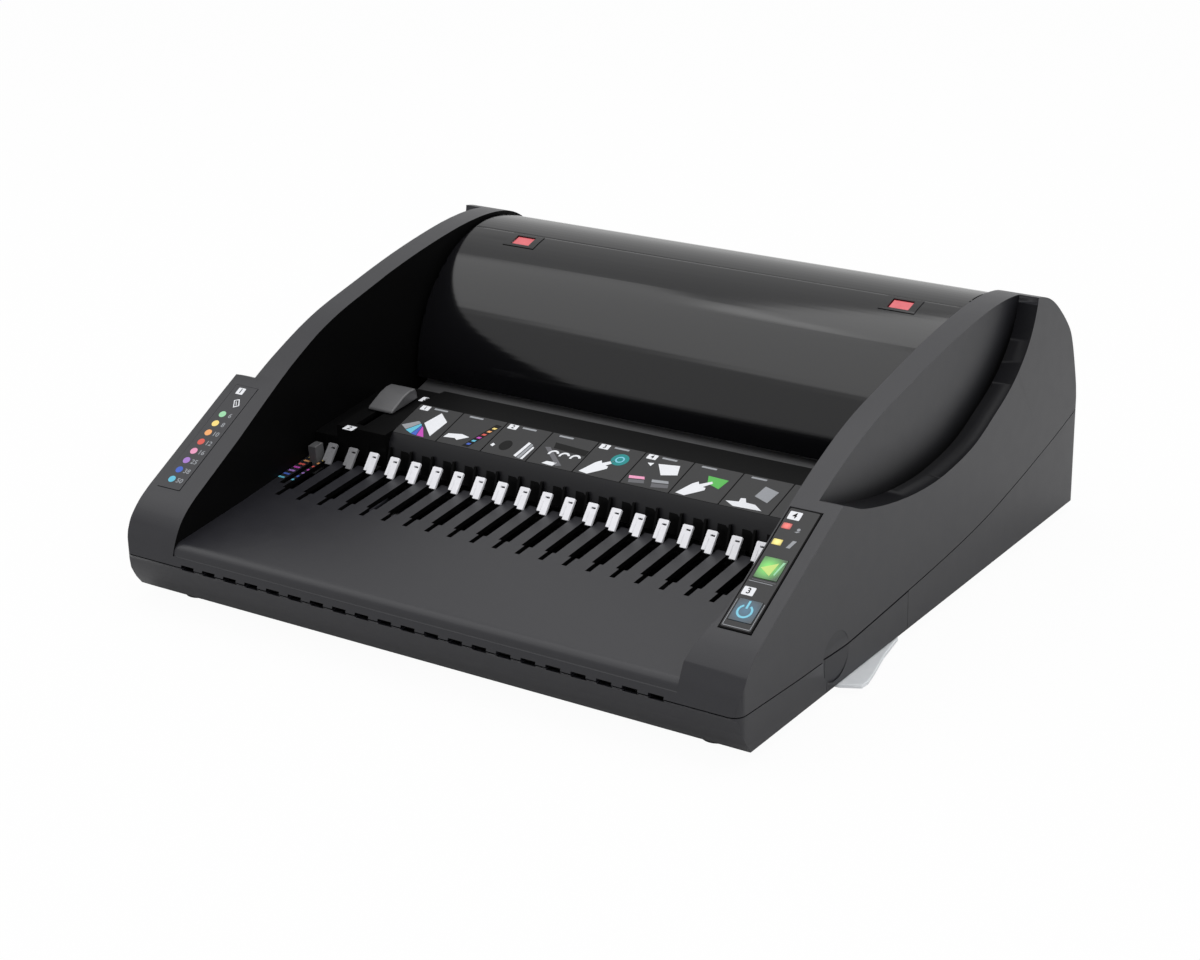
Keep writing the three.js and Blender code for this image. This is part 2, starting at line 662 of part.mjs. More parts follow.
function lidShell() {
  const shell = drumSector(lidFrontDegrees, lidRearDegrees, drumRadius - wall, drumRadius);
  const rib = drumSector(lidFrontDegrees, hingeDegrees, drumRadius - endRibDepth, drumRadius);
  let body = alongX(shell, -lidHalf, lidHalf);
  [-1, 1].forEach((side) => {
    const from = Math.min(side * lidHalf, side * (lidHalf - wall));
    const ear = circle(hinge[0], hinge[1], hingeInset);
    body = union(body, alongX(rib, from, from + wall), alongX(ear, from, from + wall));
  });
  const holes = alongX(circle(hinge[0], hinge[1], pinRadius + fitGap), -lidHalf - overrun, lidHalf + overrun);
  const seats = [windowLeftX, windowRightX].map((x) => windowBlock(x, partGap, windowFloor, overrun));
  return cut(body, holes, ...seats);
}

const windowFloor = -windowThickness - windowSink;

// A block that stands square on the drum at a window, between two heights above the drum
function windowBlock(x, grow, bottom, top) {
  const [y, z] = drumPoint(windowDegrees, drumRadius);
  const halfX = windowWidth / 2 + grow;
  const halfY = windowLength / 2 + grow;
  return placed(box(-halfX, halfX, -halfY, halfY, bottom, top),
    new THREE.Euler(-THREE.MathUtils.degToRad(windowDegrees), 0, 0), new THREE.Vector3(x, y, z));
}

const lidWindow = (x) => windowBlock(x, 0, windowFloor + seatGap, -windowSink);

function hingePin(side) {
  const start = lidHalf - wall - seatGap;
  const face = throatRearHalf + wall + seatGap;
  const pin = alongX(circle(hinge[0], hinge[1], pinRadius), start, face + pinHeadLength);
  const head = alongX(circle(hinge[0], hinge[1], pinHeadRadius), face, face + pinHeadLength);
  const whole = union(pin, head);
  return side > 0 ? whole : solidOf(mirrored(geometryOf(whole)));
}

function mirrored(geometry) {
  const shared = geometry.clone().applyMatrix4(new THREE.Matrix4().makeScale(-1, 1, 1));
  const position = shared.attributes.position;
  const flipped = new Float32Array(position.array.length);
  for (let i = 0; i < position.count; i += 3) {
    [0, 2, 1].forEach((from, to) => {
      for (let axis = 0; axis < 3; axis += 1) {
        flipped[(i + to) * 3 + axis] = position.array[(i + from) * 3 + axis];
      }
    });
  }
  shared.setAttribute('position', new THREE.BufferAttribute(flipped, 3));
  return shared;
}

// Rear cover between the arms, from under the hinge down into the base
function rearCover() {
  const [hingeY, hingeZ] = hinge;
  const foot = seamLine[seamLine.length - 1][0] - wall - partGap;
  const sweep = Math.hypot(lidEdge[0] - hingeY, lidEdge[1] - hingeZ) + runGap * 2;
  const line = [
    [hingeY - sweep * 1.4, hingeZ - sweep - wall], [hingeY + sweep / 3, hingeZ - sweep - wall],
    [hingeY + sweep + wall / 2, hingeZ - wall], [caseDepth * 0.956, caseHeight * 0.735],
    [caseDepth * 0.9733, caseHeight * 0.58], [foot, caseHeight * 0.445], [foot, caseHeight * 0.33],
  ];
  let body = alongX(sheet(line, -wall), consoleGap - throatRearHalf, throatRearHalf - consoleGap);
  const slotHeight = wall;
  for (let bank = -1; bank <= 1; bank += 2) {
    for (let row = 0; row < 5; row += 1) {
      const z = caseHeight * 0.44 + row * slotHeight * 2.4;
      const x = (bank * throatRearHalf) / 2;
      const louvre = rectangle(x - throatRearHalf / 4, x + throatRearHalf / 4, z, z + slotHeight);
      body = cut(body, alongY(louvre, hingeY, rearY));
    }
  }
  return body;
}

// Inner cover under the lid, with the rear face of the paper funnel
function innerCover() {
  const gap = wall + runGap * 2;
  const front = drumY - drumRadius + gap;
  const line = [
    [hinge[0], coverZ], [front + gap * 2, coverZ], [front + runGap * 2, lidBottomZ - wall],
    [rearDieY + dieThickness / 2, dieTopZ + wall + runGap],
  ];
  return alongX(sheet(line, wall), wall * 1.5 - lidHalf, lidHalf - wall * 1.5);
}

const rearDieY = dieY + dieThickness + paperGap;

// Control panel, buttons, lamps and board on the right arm, gauge label on the left arm
const powerPlace = -controlLength * 0.345;
const punchPlace = 0;
const lampPlaces = [controlLength * 0.21, controlLength * 0.345];
const lampX = -controlWidth * 0.27;

function controlPanel() {
  const plate = box(-controlWidth / 2, controlWidth / 2, -controlLength / 2, controlLength / 2,
    -controlThickness + seatGap, controlProud);
  const holes = [powerPlace, punchPlace].map((v) => box(-buttonWidth / 2 - partGap, buttonWidth / 2 + partGap,
    v - buttonLength / 2 - partGap, v + buttonLength / 2 + partGap, -overrun, overrun));
  const seats = lampPlaces.map((v) => box(lampX - lampWidth / 2 - partGap, lampX + lampWidth / 2 + partGap,
    v - lampLength / 2 - partGap, v + lampLength / 2 + partGap, -overrun, overrun));
  return onArm(cut(plate, ...holes, ...seats), controlX);
}

function button(place) {
  return onArm(box(-buttonWidth / 2, buttonWidth / 2, place - buttonLength / 2, place + buttonLength / 2,
    buttonProud - buttonHeight, buttonProud), controlX);
}

function lamp(place) {
  const top = controlProud + seatGap;
  return onArm(box(lampX - lampWidth / 2, lampX + lampWidth / 2, place - lampLength / 2, place + lampLength / 2,
    top - lampHeight, top), controlX);
}

function controlBoard() {
  const half = boardWidth / 2;
  let board = box(-half, half, -controlLength / 2, controlLength / 2, -boardDrop - boardThickness, -boardDrop);
  const tactTop = buttonProud - buttonHeight - buttonTravel - seatGap;
  [powerPlace, punchPlace].forEach((v) => {
    board = union(board, box(-tactWidth / 2, tactWidth / 2, v - tactWidth / 2, v + tactWidth / 2,
      -boardDrop - seatGap, tactTop));
  });
  lampPlaces.forEach((v) => {
    board = union(board, box(lampX - lampWidth / 4, lampX + lampWidth / 4, v - lampLength / 3, v + lampLength / 3,
      -boardDrop - seatGap, controlProud - lampHeight));
  });
  const spacer = box(-half, half, -controlLength / 2, -controlLength / 2 + wall, -boardDrop - seatGap, -wall * 1.2);
  const farSpacer = box(-half, half, controlLength / 2 - wall, controlLength / 2, -boardDrop - seatGap, -wall * 1.2);
  return onArm(union(board, spacer, farSpacer), controlX);
}

function gaugeLabel() {
  return onArm(box(-gaugeWidth / 2, gaugeWidth / 2, -controlLength / 2, controlLength / 2,
    seatGap - gaugeThickness, seatGap), gaugeX);
}

// Comb opener: hooks on a bar, carriage on two rods, knob on its arm. Drawn on the deck.
const hookY = deckDepth - hookBackset;
const carriageTop = -carriageDrop;

function hookComb() {
  const foot = hookY / Math.cos(slope);
  const stem = [
    [foot, carriageTop + seatGap], [foot + hookThickness * 1.5, carriageTop + seatGap], [foot + hookThickness * 1.5, 0],
    [foot + hookFaceRun + hookThickness, hookFaceRise - hookThickness / 2], [foot + hookFaceRun, hookFaceRise],
    [foot, 0],
  ];
  const edge = ringXs[ringCount - 1] + hookWidth / 2;
  let comb = box(-edge, edge, foot - hookThickness, foot + hookThickness * 3, carriageTop + seatGap,
    carriageTop + hookThickness);
  ringXs.forEach((x) => {
    comb = union(comb, alongX(stem, x - hookWidth / 2, x + hookWidth / 2));
  });
  return onDeck(comb);
}

function hookCarriage() {
  const edge = ringXs[ringCount - 1] + hookWidth / 2;
  const middle = hookY / Math.cos(slope) + hookThickness;
  const [y0, y1] = [middle - carriageLength / 2, middle + carriageLength / 2];
  let body = box(-edge, edge, y0, y1, carriageTop - carriageThickness, carriageTop);
  [-1, 1].forEach((side) => {
    const x = side * rodX;
    const block = box(x - rodRadius * 2, x + rodRadius * 2, y0, y1, -rodDrop - rodRadius * 1.5, carriageTop);
    body = cut(union(body, block), alongY(circle(x, -rodDrop, rodRadius + fitGap), y0 - overrun, y1 + overrun));
  });
  return onDeck(body);
}

function openerKnob() {
  const x0 = knobLeftX;
  const outline = knobShares.map(([a, b]) => [knobFrontY + a * knobLength, ledgeHeight + partGap + b * knobHeight]);
  const stemX = x0 + (knobWidth - knobStemWidth) / 2;
  const stem = box(stemX, stemX + knobStemWidth, knobStemY, knobStemY + knobStemLength, armBottom,
    ledgeHeight + partGap * 2);
  const arm = box(stemX, stemX + knobStemWidth, hookY + carriageLength / 2 + hookThickness * 2 + seatGap,
    knobStemY + knobStemLength, armBottom, armBottom + carriageThickness);
  const foot = box(stemX, stemX + knobStemWidth, hookY + hookThickness * 4, hookY + carriageLength,
    armBottom, carriageTop - carriageThickness - seatGap);
  const whole = union(alongX(outline, x0, x0 + knobWidth), stem, arm, foot);
  return onDeck(whole);
}

const armBottom = -carriageDrop - carriageThickness * 2 - seatGap;

function guideRod(side) {
  return onDeck(alongY(circle(side * rodX, -rodDrop, rodRadius), rodStart, rodStart + rodLength));
}

function rodBracket(side) {
  const x = side * rodX;
  const floorTop = -rodDrop - rodRadius * 2;
  const floor = box(x - bracketHalf, x + bracketHalf, rodStart, rodStart + rodLength, floorTop - wall, floorTop);
  const frontEar = box(x - bracketHalf, x + bracketHalf, rodStart, rodStart + bracketEar, floorTop - wall,
    -deckThickness - seatGap);
  const rear = rodStart + rodLength;
  const rearEar = box(x - bracketHalf, x + bracketHalf, rear - bracketEar, rear, floorTop - wall, -rodDrop + rodRadius * 2);
  const bore = alongY(circle(x, -rodDrop, rodRadius + seatGap), rodStart - overrun, rear + overrun);
  return onDeck(cut(union(floor, frontEar, rearEar), bore));
}

function edgeGuide() {
  const half = guideWidth / 2;
  const peg = box(guideX - half, guideX + half, guideY - guideLength / 2, guideY + guideLength / 2,
    seatGap, guideHeight);
  const stem = box(guideX - guideStem / 2, guideX + guideStem / 2, guideY - guideLength / 2,
    guideY + guideLength / 2, -wall * 2, seatGap * 2);
  const keeper = box(guideX - guideStem, guideX + guideStem, guideY - guideLength, guideY + guideLength / 2,
    -wall * 2, -wall - runGap);
  return onDeck(union(peg, stem, keeper));
}

// Waste drawer: dark front flush with the side, pale tray with its pull lip
function drawerFront() {
  const top = seamLine.filter(([y]) => y > drawerFrontY && y < drawerRearY);
  const outline = [
    [drawerFrontY, drawerBottomZ], [drawerRearY, drawerBottomZ], [drawerRearY, seamHeight(drawerRearY) - partGap],
    ...moved(top, 0, -partGap).reverse(), [drawerFrontY, seamHeight(drawerFrontY) - partGap],
  ];
  return cut(alongX(outline, halfWidth - wall, halfWidth), scoopTool);
}

function wasteTray() {
  const end = halfWidth - wall - seatGap;
  const outer = box(-trayHalf, end, trayFrontY, trayRearY, trayFloorZ, trayFloorZ + trayHeight);
  const inner = box(trayWall - trayHalf, end - trayWall, trayFrontY + trayWall, trayRearY - trayWall,
    trayFloorZ + trayWall, topZ);
  const lipLength = trayRearY - trayFrontY - wall * 2 - partGap * 2;
  const root = end - wall;
  const plan = pullLipShares.map(([v, u]) => (v < 0
    ? [root, trayFrontY + wall + partGap]
    : [halfWidth + u * lipReach, trayFrontY + wall + partGap + v * lipLength]));
  plan.push([root, trayFrontY + wall + partGap + lipLength]);
  const lip = alongZ(plan, lipBottomZ, lipBottomZ + lipThickness);
  const neck = box(root, end, trayFrontY + wall + partGap, trayRearY - wall - partGap, lipBottomZ,
    trayFloorZ + trayWall);
  return union(cut(outer, inner), lip, neck);
}

// Punch: two die plates with the paper gap between them, and the punch comb behind
function diePlate(y) {
  let plate = box(-dieHalf, dieHalf, y, y + dieThickness, dieBottomZ, dieTopZ);
  ringXs.forEach((x) => {
    const hole = rectangle(x - punchWidth / 2 - punchFit, x + punchWidth / 2 + punchFit,
      punchZ - punchHeight / 2 - punchFit, punchZ + punchHeight / 2 + punchFit);
    plate = cut(plate, alongY(hole, y - overrun, y + overrun));
  });
  return plate;
}

function punchComb() {
  let bar = box(-dieHalf, dieHalf, barY, barY + barThickness, barBottomZ, dieTopZ);
  [-1, 1].forEach((side) => {
    bar = cut(bar, alongY(circle(side * springX, springZ, springRadius + springWire), barY - overrun,
      barY + pocketDepth));
  });
  ringXs.forEach((x) => {
    bar = union(bar, box(x - punchWidth / 2, x + punchWidth / 2, rearDieY + punchRest, barY + punchRest,
      punchZ - punchHeight / 2, punchZ + punchHeight / 2));
  });
  return bar;
}

// A return spring: one wire wound between the rear die plate and its pocket in the bar
function returnSpring(side) {
  const start = rearDieY + dieThickness + springWire / 2 + seatGap;
  const length = barY + pocketDepth - springWire / 2 - seatGap - start;
  const steps = springTurns * springStepsPerTurn;
  const rings = [];
  for (let i = 0; i <= steps; i += 1) {
    const turn = (2 * Math.PI * i) / springStepsPerTurn;
    const centre = new THREE.Vector3(side * springX + springRadius * Math.cos(turn), start + (length * i) / steps,
      springZ + springRadius * Math.sin(turn));
    const out = new THREE.Vector3(Math.cos(turn), 0, Math.sin(turn));
    rings.push(Array.from({ length: springSides }, (_, k) => {
      const around = (2 * Math.PI * k) / springSides;
      return centre.clone().addScaledVector(out, (springWire / 2) * Math.cos(around))
        .addScaledVector(axisY, (springWire / 2) * Math.sin(around));
    }));
  }
  return solidOf(tubeGeometry(rings));
}

function tubeGeometry(rings) {
  const points = rings.flat();
  const sides = rings[0].length;
  const index = [];
  for (let i = 0; i < rings.length - 1; i += 1) {
    for (let k = 0; k < sides; k += 1) {
      const next = (k + 1) % sides;
      const [a, b, c, d] = [i * sides + k, i * sides + next, (i + 1) * sides + k, (i + 1) * sides + next];
      index.push(a, b, c, b, d, c);
    }
  }
  const last = (rings.length - 1) * sides;
  for (let k = 1; k < sides - 1; k += 1) {
    index.push(0, k + 1, k, last, last + k, last + k + 1);
  }
  const geometry = new THREE.BufferGeometry().setFromPoints(points);
  geometry.setIndex(index);
  return geometry.toNonIndexed();
}

const shaftY = barY + barThickness + camGap + camBase;
const camGearRadius = (gearModule * camGearTeeth) / 2;
const pinionRadius = (gearModule * pinionTeeth) / 2;
const idlerGearRadius = (gearModule * idlerGearTeeth) / 2;
const idlerY = shaftY + camGearRadius + pinionRadius;
const idlerZ = shaftZ;
const motorRise = THREE.MathUtils.degToRad(motorRiseDegrees);
const motorY = idlerY + (idlerGearRadius + pinionRadius) * Math.cos(motorRise);
const motorZ = idlerZ + (idlerGearRadius + pinionRadius) * Math.sin(motorRise);

// A cam whose radius grows evenly over half a turn, so that the bar moves evenly with it
function camOutline() {
  return Array.from({ length: camSteps }, (_, i) => {
    const turn = (2 * Math.PI * i) / camSteps;
    const share = turn <= Math.PI ? turn / Math.PI : 2 - turn / Math.PI;
    const radius = camBase + punchStroke * share;
    return [shaftY - radius * Math.cos(turn), shaftZ + radius * Math.sin(turn)];
  });
}

function camshaft() {
  let body = alongX(circle(shaftY, shaftZ, shaftRadius), -outerGearX - outerGearWidth, outerGearX + outerGearWidth);
  [-camSpacing, 0, camSpacing].forEach((x) => {
    body = union(body, alongX(camOutline(), x - camWidth / 2, x + camWidth / 2));
  });
  return body;
}

// Spur gear: straight-sided teeth, thinned at the tip so that meshing teeth stay clear
function gear(teeth, y, z, x, width, bore, phase) {
  const pitch = (gearModule * teeth) / 2;
  const levels = [
    [pitch - 1.15 * gearModule, 0.27], [pitch, 0.215], [pitch + 0.45 * gearModule, 0.15],
    [pitch + 0.8 * gearModule, 0.09],
  ];
  const outline = [];
  for (let i = 0; i < teeth; i += 1) {
    const middle = phase + i / teeth;
    levels.forEach(([radius, half]) => outline.push([radius, middle - half / teeth]));
    levels.slice().reverse().forEach(([radius, half]) => outline.push([radius, middle + half / teeth]));
  }
  const points = outline.map(([radius, turn]) => [
    y + radius * Math.cos(2 * Math.PI * turn), z + radius * Math.sin(2 * Math.PI * turn),
  ]);
  const body = alongX(points, x, x + width);
  return bore > 0 ? cut(body, alongX(circle(y, z, bore), x - overrun, x + width + overrun)) : body;
}

// Phases in turns: a tooth of one gear stands in a gap of the next along the line of centres
const idlerPinionPhase = 0.5 + 0.5 / pinionTeeth;
const motorLine = motorRise / (2 * Math.PI);
const motorPinionPhase = motorLine + 0.5 + 0.5 / pinionTeeth;

const camshaftGear = () =>
  gear(camGearTeeth, shaftY, shaftZ, outerGearX, outerGearWidth, shaftRadius + fitGap, 0);
const idlerPinion = () =>
  gear(pinionTeeth, idlerY, idlerZ, outerGearX, outerGearWidth, idlerShaftRadius + fitGap, idlerPinionPhase);
const idlerGear = () =>
  gear(idlerGearTeeth, idlerY, idlerZ, innerGearX, innerGearWidth, idlerShaftRadius + fitGap, motorLine);
const idlerShaft = () =>
  alongX(circle(idlerY, idlerZ, idlerShaftRadius), innerGearX - seatGap, outerGearX + outerGearWidth);

function motorPinion() {
  const shaft = alongX(circle(motorY, motorZ, motorShaftRadius), noseEnd - motorNose * 2, innerGearX + innerGearWidth);
  return union(shaft, gear(pinionTeeth, motorY, motorZ, innerGearX, innerGearWidth, 0, motorPinionPhase));
}

const noseEnd = innerGearX - runGap;
const motorFace = noseEnd - motorNose;

function motorBody() {
  const can = alongX(circle(motorY, motorZ, motorRadius), motorFace - motorLength, motorFace);
  const nose = alongX(circle(motorY, motorZ, motorNoseRadius), motorFace, noseEnd);
  const bore = alongX(circle(motorY, motorZ, motorShaftRadius + fitGap), noseEnd - motorNose * 2 - runGap,
    noseEnd + overrun);
  return cut(union(can, nose), bore);
}

function motorBracket() {
  const x = motorFace + seatGap;
  const floorZ = wall + seatGap;
  const plate = [
    [motorY - motorRadius - wall, floorZ], [motorY + motorRadius + wall, floorZ],
    [motorY + motorRadius + wall, motorZ + motorRadius], [motorY - motorRadius / 3, motorZ + motorRadius],
    [motorY - motorRadius / 2 - wall, motorZ - motorRadius / 2], [motorY - motorRadius - wall, floorZ + motorNose],
  ];
  const flange = box(x - motorRadius, x + bracketThickness, motorY - motorRadius - wall,
    motorY + motorRadius + wall, floorZ, floorZ + bracketThickness);
  const hole = alongX(circle(motorY, motorZ, motorNoseRadius + seatGap), x - overrun, x + overrun);
  return union(cut(alongX(plate, x, x + bracketThickness), hole), flange);
}

function frameSide(side) {
  const floorZ = wall + seatGap;
  const outline = [
    [dieY - wall, floorZ], [frameRearY, floorZ], [frameRearY, coverZ - wall - seatGap],
    [drumY - drumRadius * 0.8, coverZ - wall - seatGap], [drumY - drumRadius * 0.8, dieTopZ + wall * 2],
    [rearDieY + dieThickness, dieTopZ + seatGap], [dieY - wall, dieTopZ + seatGap],
  ];
  const from = side > 0 ? frameInner : -frameInner - frameThickness;
  let plate = alongX(outline, from, from + frameThickness);
  plate = cut(plate, alongX(circle(shaftY, shaftZ, bushRadius + seatGap), from - overrun, from + overrun));
  if (side > 0) {
    plate = cut(plate, alongX(circle(idlerY, idlerZ, idlerShaftRadius + fitGap), from - overrun, from + overrun));
  }
  return plate;
}

function bush(side) {
  const middle = side * (frameInner + frameThickness / 2);
  const ring = circle(shaftY, shaftZ, bushRadius);
  const body = alongX(ring, middle - bushLength / 2, middle + bushLength / 2);
  return cut(body, alongX(circle(shaftY, shaftZ, shaftRadius + fitGap), middle - overrun, middle + overrun));
}

function chipChute() {
  const line = [
    [dieY - seatGap, punchZ - punchHeight * 2], [dieY - seatGap, punchZ - punchHeight * 4],
    [trayRearY - trayWall * 2, trayFloorZ + trayHeight + wall],
  ];
  return alongX(sheet(line, -chuteThickness), wall - dieHalf, dieHalf - wall);
}

// Electrics
function mainsInlet() {
  const back = caseDepth * hullRearShares[hullRearShares.length - 1][0] - wall;
  const [halfX, halfZ] = [inletWidth / 2, inletHeight / 2];
  const body = box(inletX - halfX, inletX + halfX, caseDepth - inletDepth, caseDepth - seatGap * 2,
    inletZ - halfZ, inletZ + halfZ);
  const flange = box(inletX - halfX - inletFlange, inletX + halfX + inletFlange, back - wall, back - seatGap,
    inletZ - halfZ - inletFlange, inletZ + halfZ + inletFlange);
  const socket = box(inletX - halfX + inletWall, inletX + halfX - inletWall, caseDepth - inletDepth + inletWall, rearY,
    inletZ - halfZ + inletWall, inletZ + halfZ - inletWall);
  let inlet = cut(union(body, flange), socket);
  [-1, 0, 1].forEach((place) => {
    const x = inletX + place * contactPitch;
    const z = inletZ + (place === 0 ? contactThickness : -contactThickness);
    inlet = union(inlet, box(x - contactThickness / 2, x + contactThickness / 2, caseDepth - inletDepth + inletWall / 2,
      caseDepth - wall * 2, z - contactWidth / 2, z + contactWidth / 2));
  });
  return inlet;
}

function powerBoard() {
  const x0 = -frameInner + wall * 4;
  const x1 = x0 + caseWidth * 0.3;
  const y0 = frameRearY - inletDepth * 2;
  const y1 = caseDepth - inletDepth - wall * 2;
  const z0 = wall + seatGap;
  const z1 = z0 + wall * 2;
  let board = box(x0, x1, y0, y1, z1, z1 + boardThickness);
  [[x0, y0], [x1 - wall * 2, y0], [x0, y1 - wall * 2], [x1 - wall * 2, y1 - wall * 2]].forEach(([x, y]) => {
    board = union(board, box(x, x + wall * 2, y, y + wall * 2, z0, z1 + seatGap));
  });
  const core = inletHeight;
  const bridge = box(x0 + core, x0 + core * 2.5, y0 + wall * 2, y1 - wall * 2, z1 + seatGap, z1 + core);
  const can = alongZ(circle(x1 - core, (y0 + y1) / 2, core / 2), z1 + seatGap, z1 + core * 1.2);
  return union(board, bridge, can);
}

function lidSwitch() {
  const x0 = wall * 2 - frameInner;
  const y0 = drumY - drumRadius / 2;
  const body = box(x0, x0 + buttonWidth, y0, y0 + buttonLength, coverZ + seatGap, coverZ + buttonHeight * 2);
  const lever = box(x0 + wall, x0 + wall * 2, y0 - wall, y0 + buttonLength - wall, coverZ + buttonHeight * 2 - seatGap,
    coverZ + buttonHeight * 2 + wall);
  return union(body, lever);
}

const footPlaces = [
  ['foot_front_left', -1, 0], ['foot_front_right', 1, 0], ['foot_rear_left', -1, 1], ['foot_rear_right', 1, 1],
];

function foot(side, end) {
  const y = end ? caseDepth - footInset : footInset;
  return alongZ(circle(side * (halfWidth - footInset), y, footRadius), -footHeight, 0);
}

function caseScrew(side, y) {
  const head = alongZ(circle(side * bossX, y, screwHeadRadius), seatGap, screwHeadHeight - seatGap);
  const reach = y > drumY ? screwLength * 2 : screwLength;
  return union(head, alongZ(circle(side * bossX, y, screwRadius), seatGap * 2, reach));
}

// Materials, one for each finish
const finish = (color, roughness, metalness = 0, extra = {}) =>
  new THREE.MeshStandardMaterial({ color, roughness, metalness, ...extra });
const darkPlastic = finish(0x2d2d30, 0.6);
const glossPlastic = finish(0x18191b, 0.12);
const greyPlastic = finish(0x6f7276, 0.5);
const whitePlastic = finish(0xe6e7ee, 0.35);
const paleClear = finish(0xdfe3e6, 0.3, 0, { transparent: true, opacity: 0.75 });
const redClear = finish(0xc33b41, 0.2, 0, { transparent: true, opacity: 0.85 });
const amberClear = finish(0xd8c84a, 0.25);
const printedPanel = finish(0x1c1c1f, 0.35);
const greenButton = finish(0x4f8f3c, 0.3);
const blueButton = finish(0x1d3d55, 0.3);
const steel = finish(0xa8abad, 0.35, 1);
const castSteel = finish(0x8d8f92, 0.5, 1);
const brassMetal = finish(0xb08d4a, 0.4, 1);
const boardGreen = finish(0x1f5a36, 0.5);
const rubber = finish(0x161616, 0.9);

const machine = new THREE.Group();

function piece(name, solid, material) {
  const mesh = new THREE.Mesh(geometryOf(solid), material);
  mesh.name = name;
  machine.add(mesh);
}

piece('base_pan', basePan(), darkPlastic);
piece('upper_case', upperCase(), darkPlastic);
piece('console', consoleBody(), darkPlastic);
piece('rear_cover', rearCover(), darkPlastic);
piece('inner_cover', innerCover(), darkPlastic);
piece('lid', lidShell(), glossPlastic);
piece('lid_window_left', lidWindow(windowLeftX), redClear);
piece('lid_window_right', lidWindow(windowRightX), redClear);
piece('hinge_pin_left', hingePin(-1), steel);
piece('hinge_pin_right', hingePin(1), steel);
piece('instruction_panel', instructionPanel(), printedPanel);
piece('gauge_label', gaugeLabel(), printedPanel);
piece('control_panel', controlPanel(), printedPanel);
piece('power_button', button(powerPlace), blueButton);
piece('punch_button', button(punchPlace), greenButton);
piece('lamp_yellow', lamp(lampPlaces[0]), amberClear);
piece('lamp_red', lamp(lampPlaces[1]), redClear);
piece('control_board', controlBoard(), boardGreen);
piece('power_board', powerBoard(), boardGreen);
piece('mains_inlet', mainsInlet(), darkPlastic);
piece('lid_switch', lidSwitch(), darkPlastic);
piece('hook_comb', hookComb(), whitePlastic);
piece('hook_carriage', hookCarriage(), castSteel);
piece('opener_knob', openerKnob(), greyPlastic);
piece('guide_rod_left', guideRod(-1), steel);
piece('guide_rod_right', guideRod(1), steel);
piece('rod_bracket_left', rodBracket(-1), castSteel);
piece('rod_bracket_right', rodBracket(1), castSteel);
piece('edge_guide', edgeGuide(), greyPlastic);
piece('waste_tray', wasteTray(), paleClear);
piece('drawer_front', drawerFront(), darkPlastic);
piece('die_plate_front', diePlate(dieY), castSteel);
piece('die_plate_rear', diePlate(rearDieY), castSteel);
piece('punch_comb', punchComb(), steel);
piece('return_spring_left', returnSpring(-1), steel);
piece('return_spring_right', returnSpring(1), steel);
piece('frame_left', frameSide(-1), castSteel);
piece('frame_right', frameSide(1), castSteel);
piece('camshaft', camshaft(), steel);
piece('camshaft_gear', camshaftGear(), steel);
piece('bush_left', bush(-1), brassMetal);
piece('bush_right', bush(1), brassMetal);
piece('idler_shaft', idlerShaft(), steel);
piece('idler_pinion', idlerPinion(), steel);
piece('idler_gear', idlerGear(), steel);
piece('motor', motorBody(), castSteel);
piece('motor_pinion', motorPinion(), brassMetal);
piece('motor_bracket', motorBracket(), castSteel);
piece('chip_chute', chipChute(), darkPlastic);
footPlaces.forEach(([name, side, end]) => piece(name, foot(side, end), rubber));
['left', 'right'].forEach((name, i) => bossYs.forEach((y, row) => {
  piece(`case_screw_${row ? 'rear' : 'front'}_${name}`, caseScrew(i ? 1 : -1, y), steel);
}));

// The pull lip reaches past the right side, so the middle of the footprint lies beside the case's own
machine.position.set(-lipReach / 2, -caseDepth / 2, footHeight);

export default machine;
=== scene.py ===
# %% [markdown]
# # An electric comb binding machine, dressed for its photograph
# The solids of the machine come in as a fixed frame, in metres. Every step below adds the looks of one
# piece or one finish to it: rounded edges, a fine printed panel, a glossy lid. The first step loads the
# frame, with a helper that gives the box of any of its parts.

# %% Load the frame
from contextlib import contextmanager
from functools import partialmethod
from math import atan2, cos, degrees, hypot, radians, sin, tan

import bmesh
import bpy
from mathutils import Matrix, Vector


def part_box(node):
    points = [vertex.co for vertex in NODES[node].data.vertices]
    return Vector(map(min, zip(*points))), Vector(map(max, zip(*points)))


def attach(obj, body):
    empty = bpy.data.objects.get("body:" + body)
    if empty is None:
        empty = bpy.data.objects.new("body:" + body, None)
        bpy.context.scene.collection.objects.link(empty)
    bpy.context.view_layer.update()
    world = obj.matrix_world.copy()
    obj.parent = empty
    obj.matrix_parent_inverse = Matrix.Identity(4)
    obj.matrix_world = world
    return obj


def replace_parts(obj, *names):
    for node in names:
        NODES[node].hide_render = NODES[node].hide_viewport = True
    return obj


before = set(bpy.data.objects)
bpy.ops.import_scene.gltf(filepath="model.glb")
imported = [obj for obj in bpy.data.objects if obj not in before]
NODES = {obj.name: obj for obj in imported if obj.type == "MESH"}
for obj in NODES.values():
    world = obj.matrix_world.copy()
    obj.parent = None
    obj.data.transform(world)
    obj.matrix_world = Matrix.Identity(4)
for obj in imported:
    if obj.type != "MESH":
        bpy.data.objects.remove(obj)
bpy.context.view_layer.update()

MM = 0.001
# The frame's origin is under the middle of the machine. The sizes below are easier to read from the
# left-right middle of the case, its front lip and its underside.
CASE_MIDDLE = Vector((-5.25, -187.0, 3.0))


def case_point(x, y, z):
    """A point given in millimetres from the middle, the front lip and the underside of the case."""
    return (Vector((x, y, z)) + CASE_MIDDLE) * MM


def added(name, data):
    """A new object in the scene."""
    piece = bpy.data.objects.new(name, data)
    bpy.context.scene.collection.objects.link(piece)
    return piece


print("nodes", len(NODES))

# %% [markdown]
# ## The camera
# The straight edges of the machine give the place, the angles and the focal length of the lens that took
# the photograph. The three axes of the camera are worked out from its turn, tilt and roll.

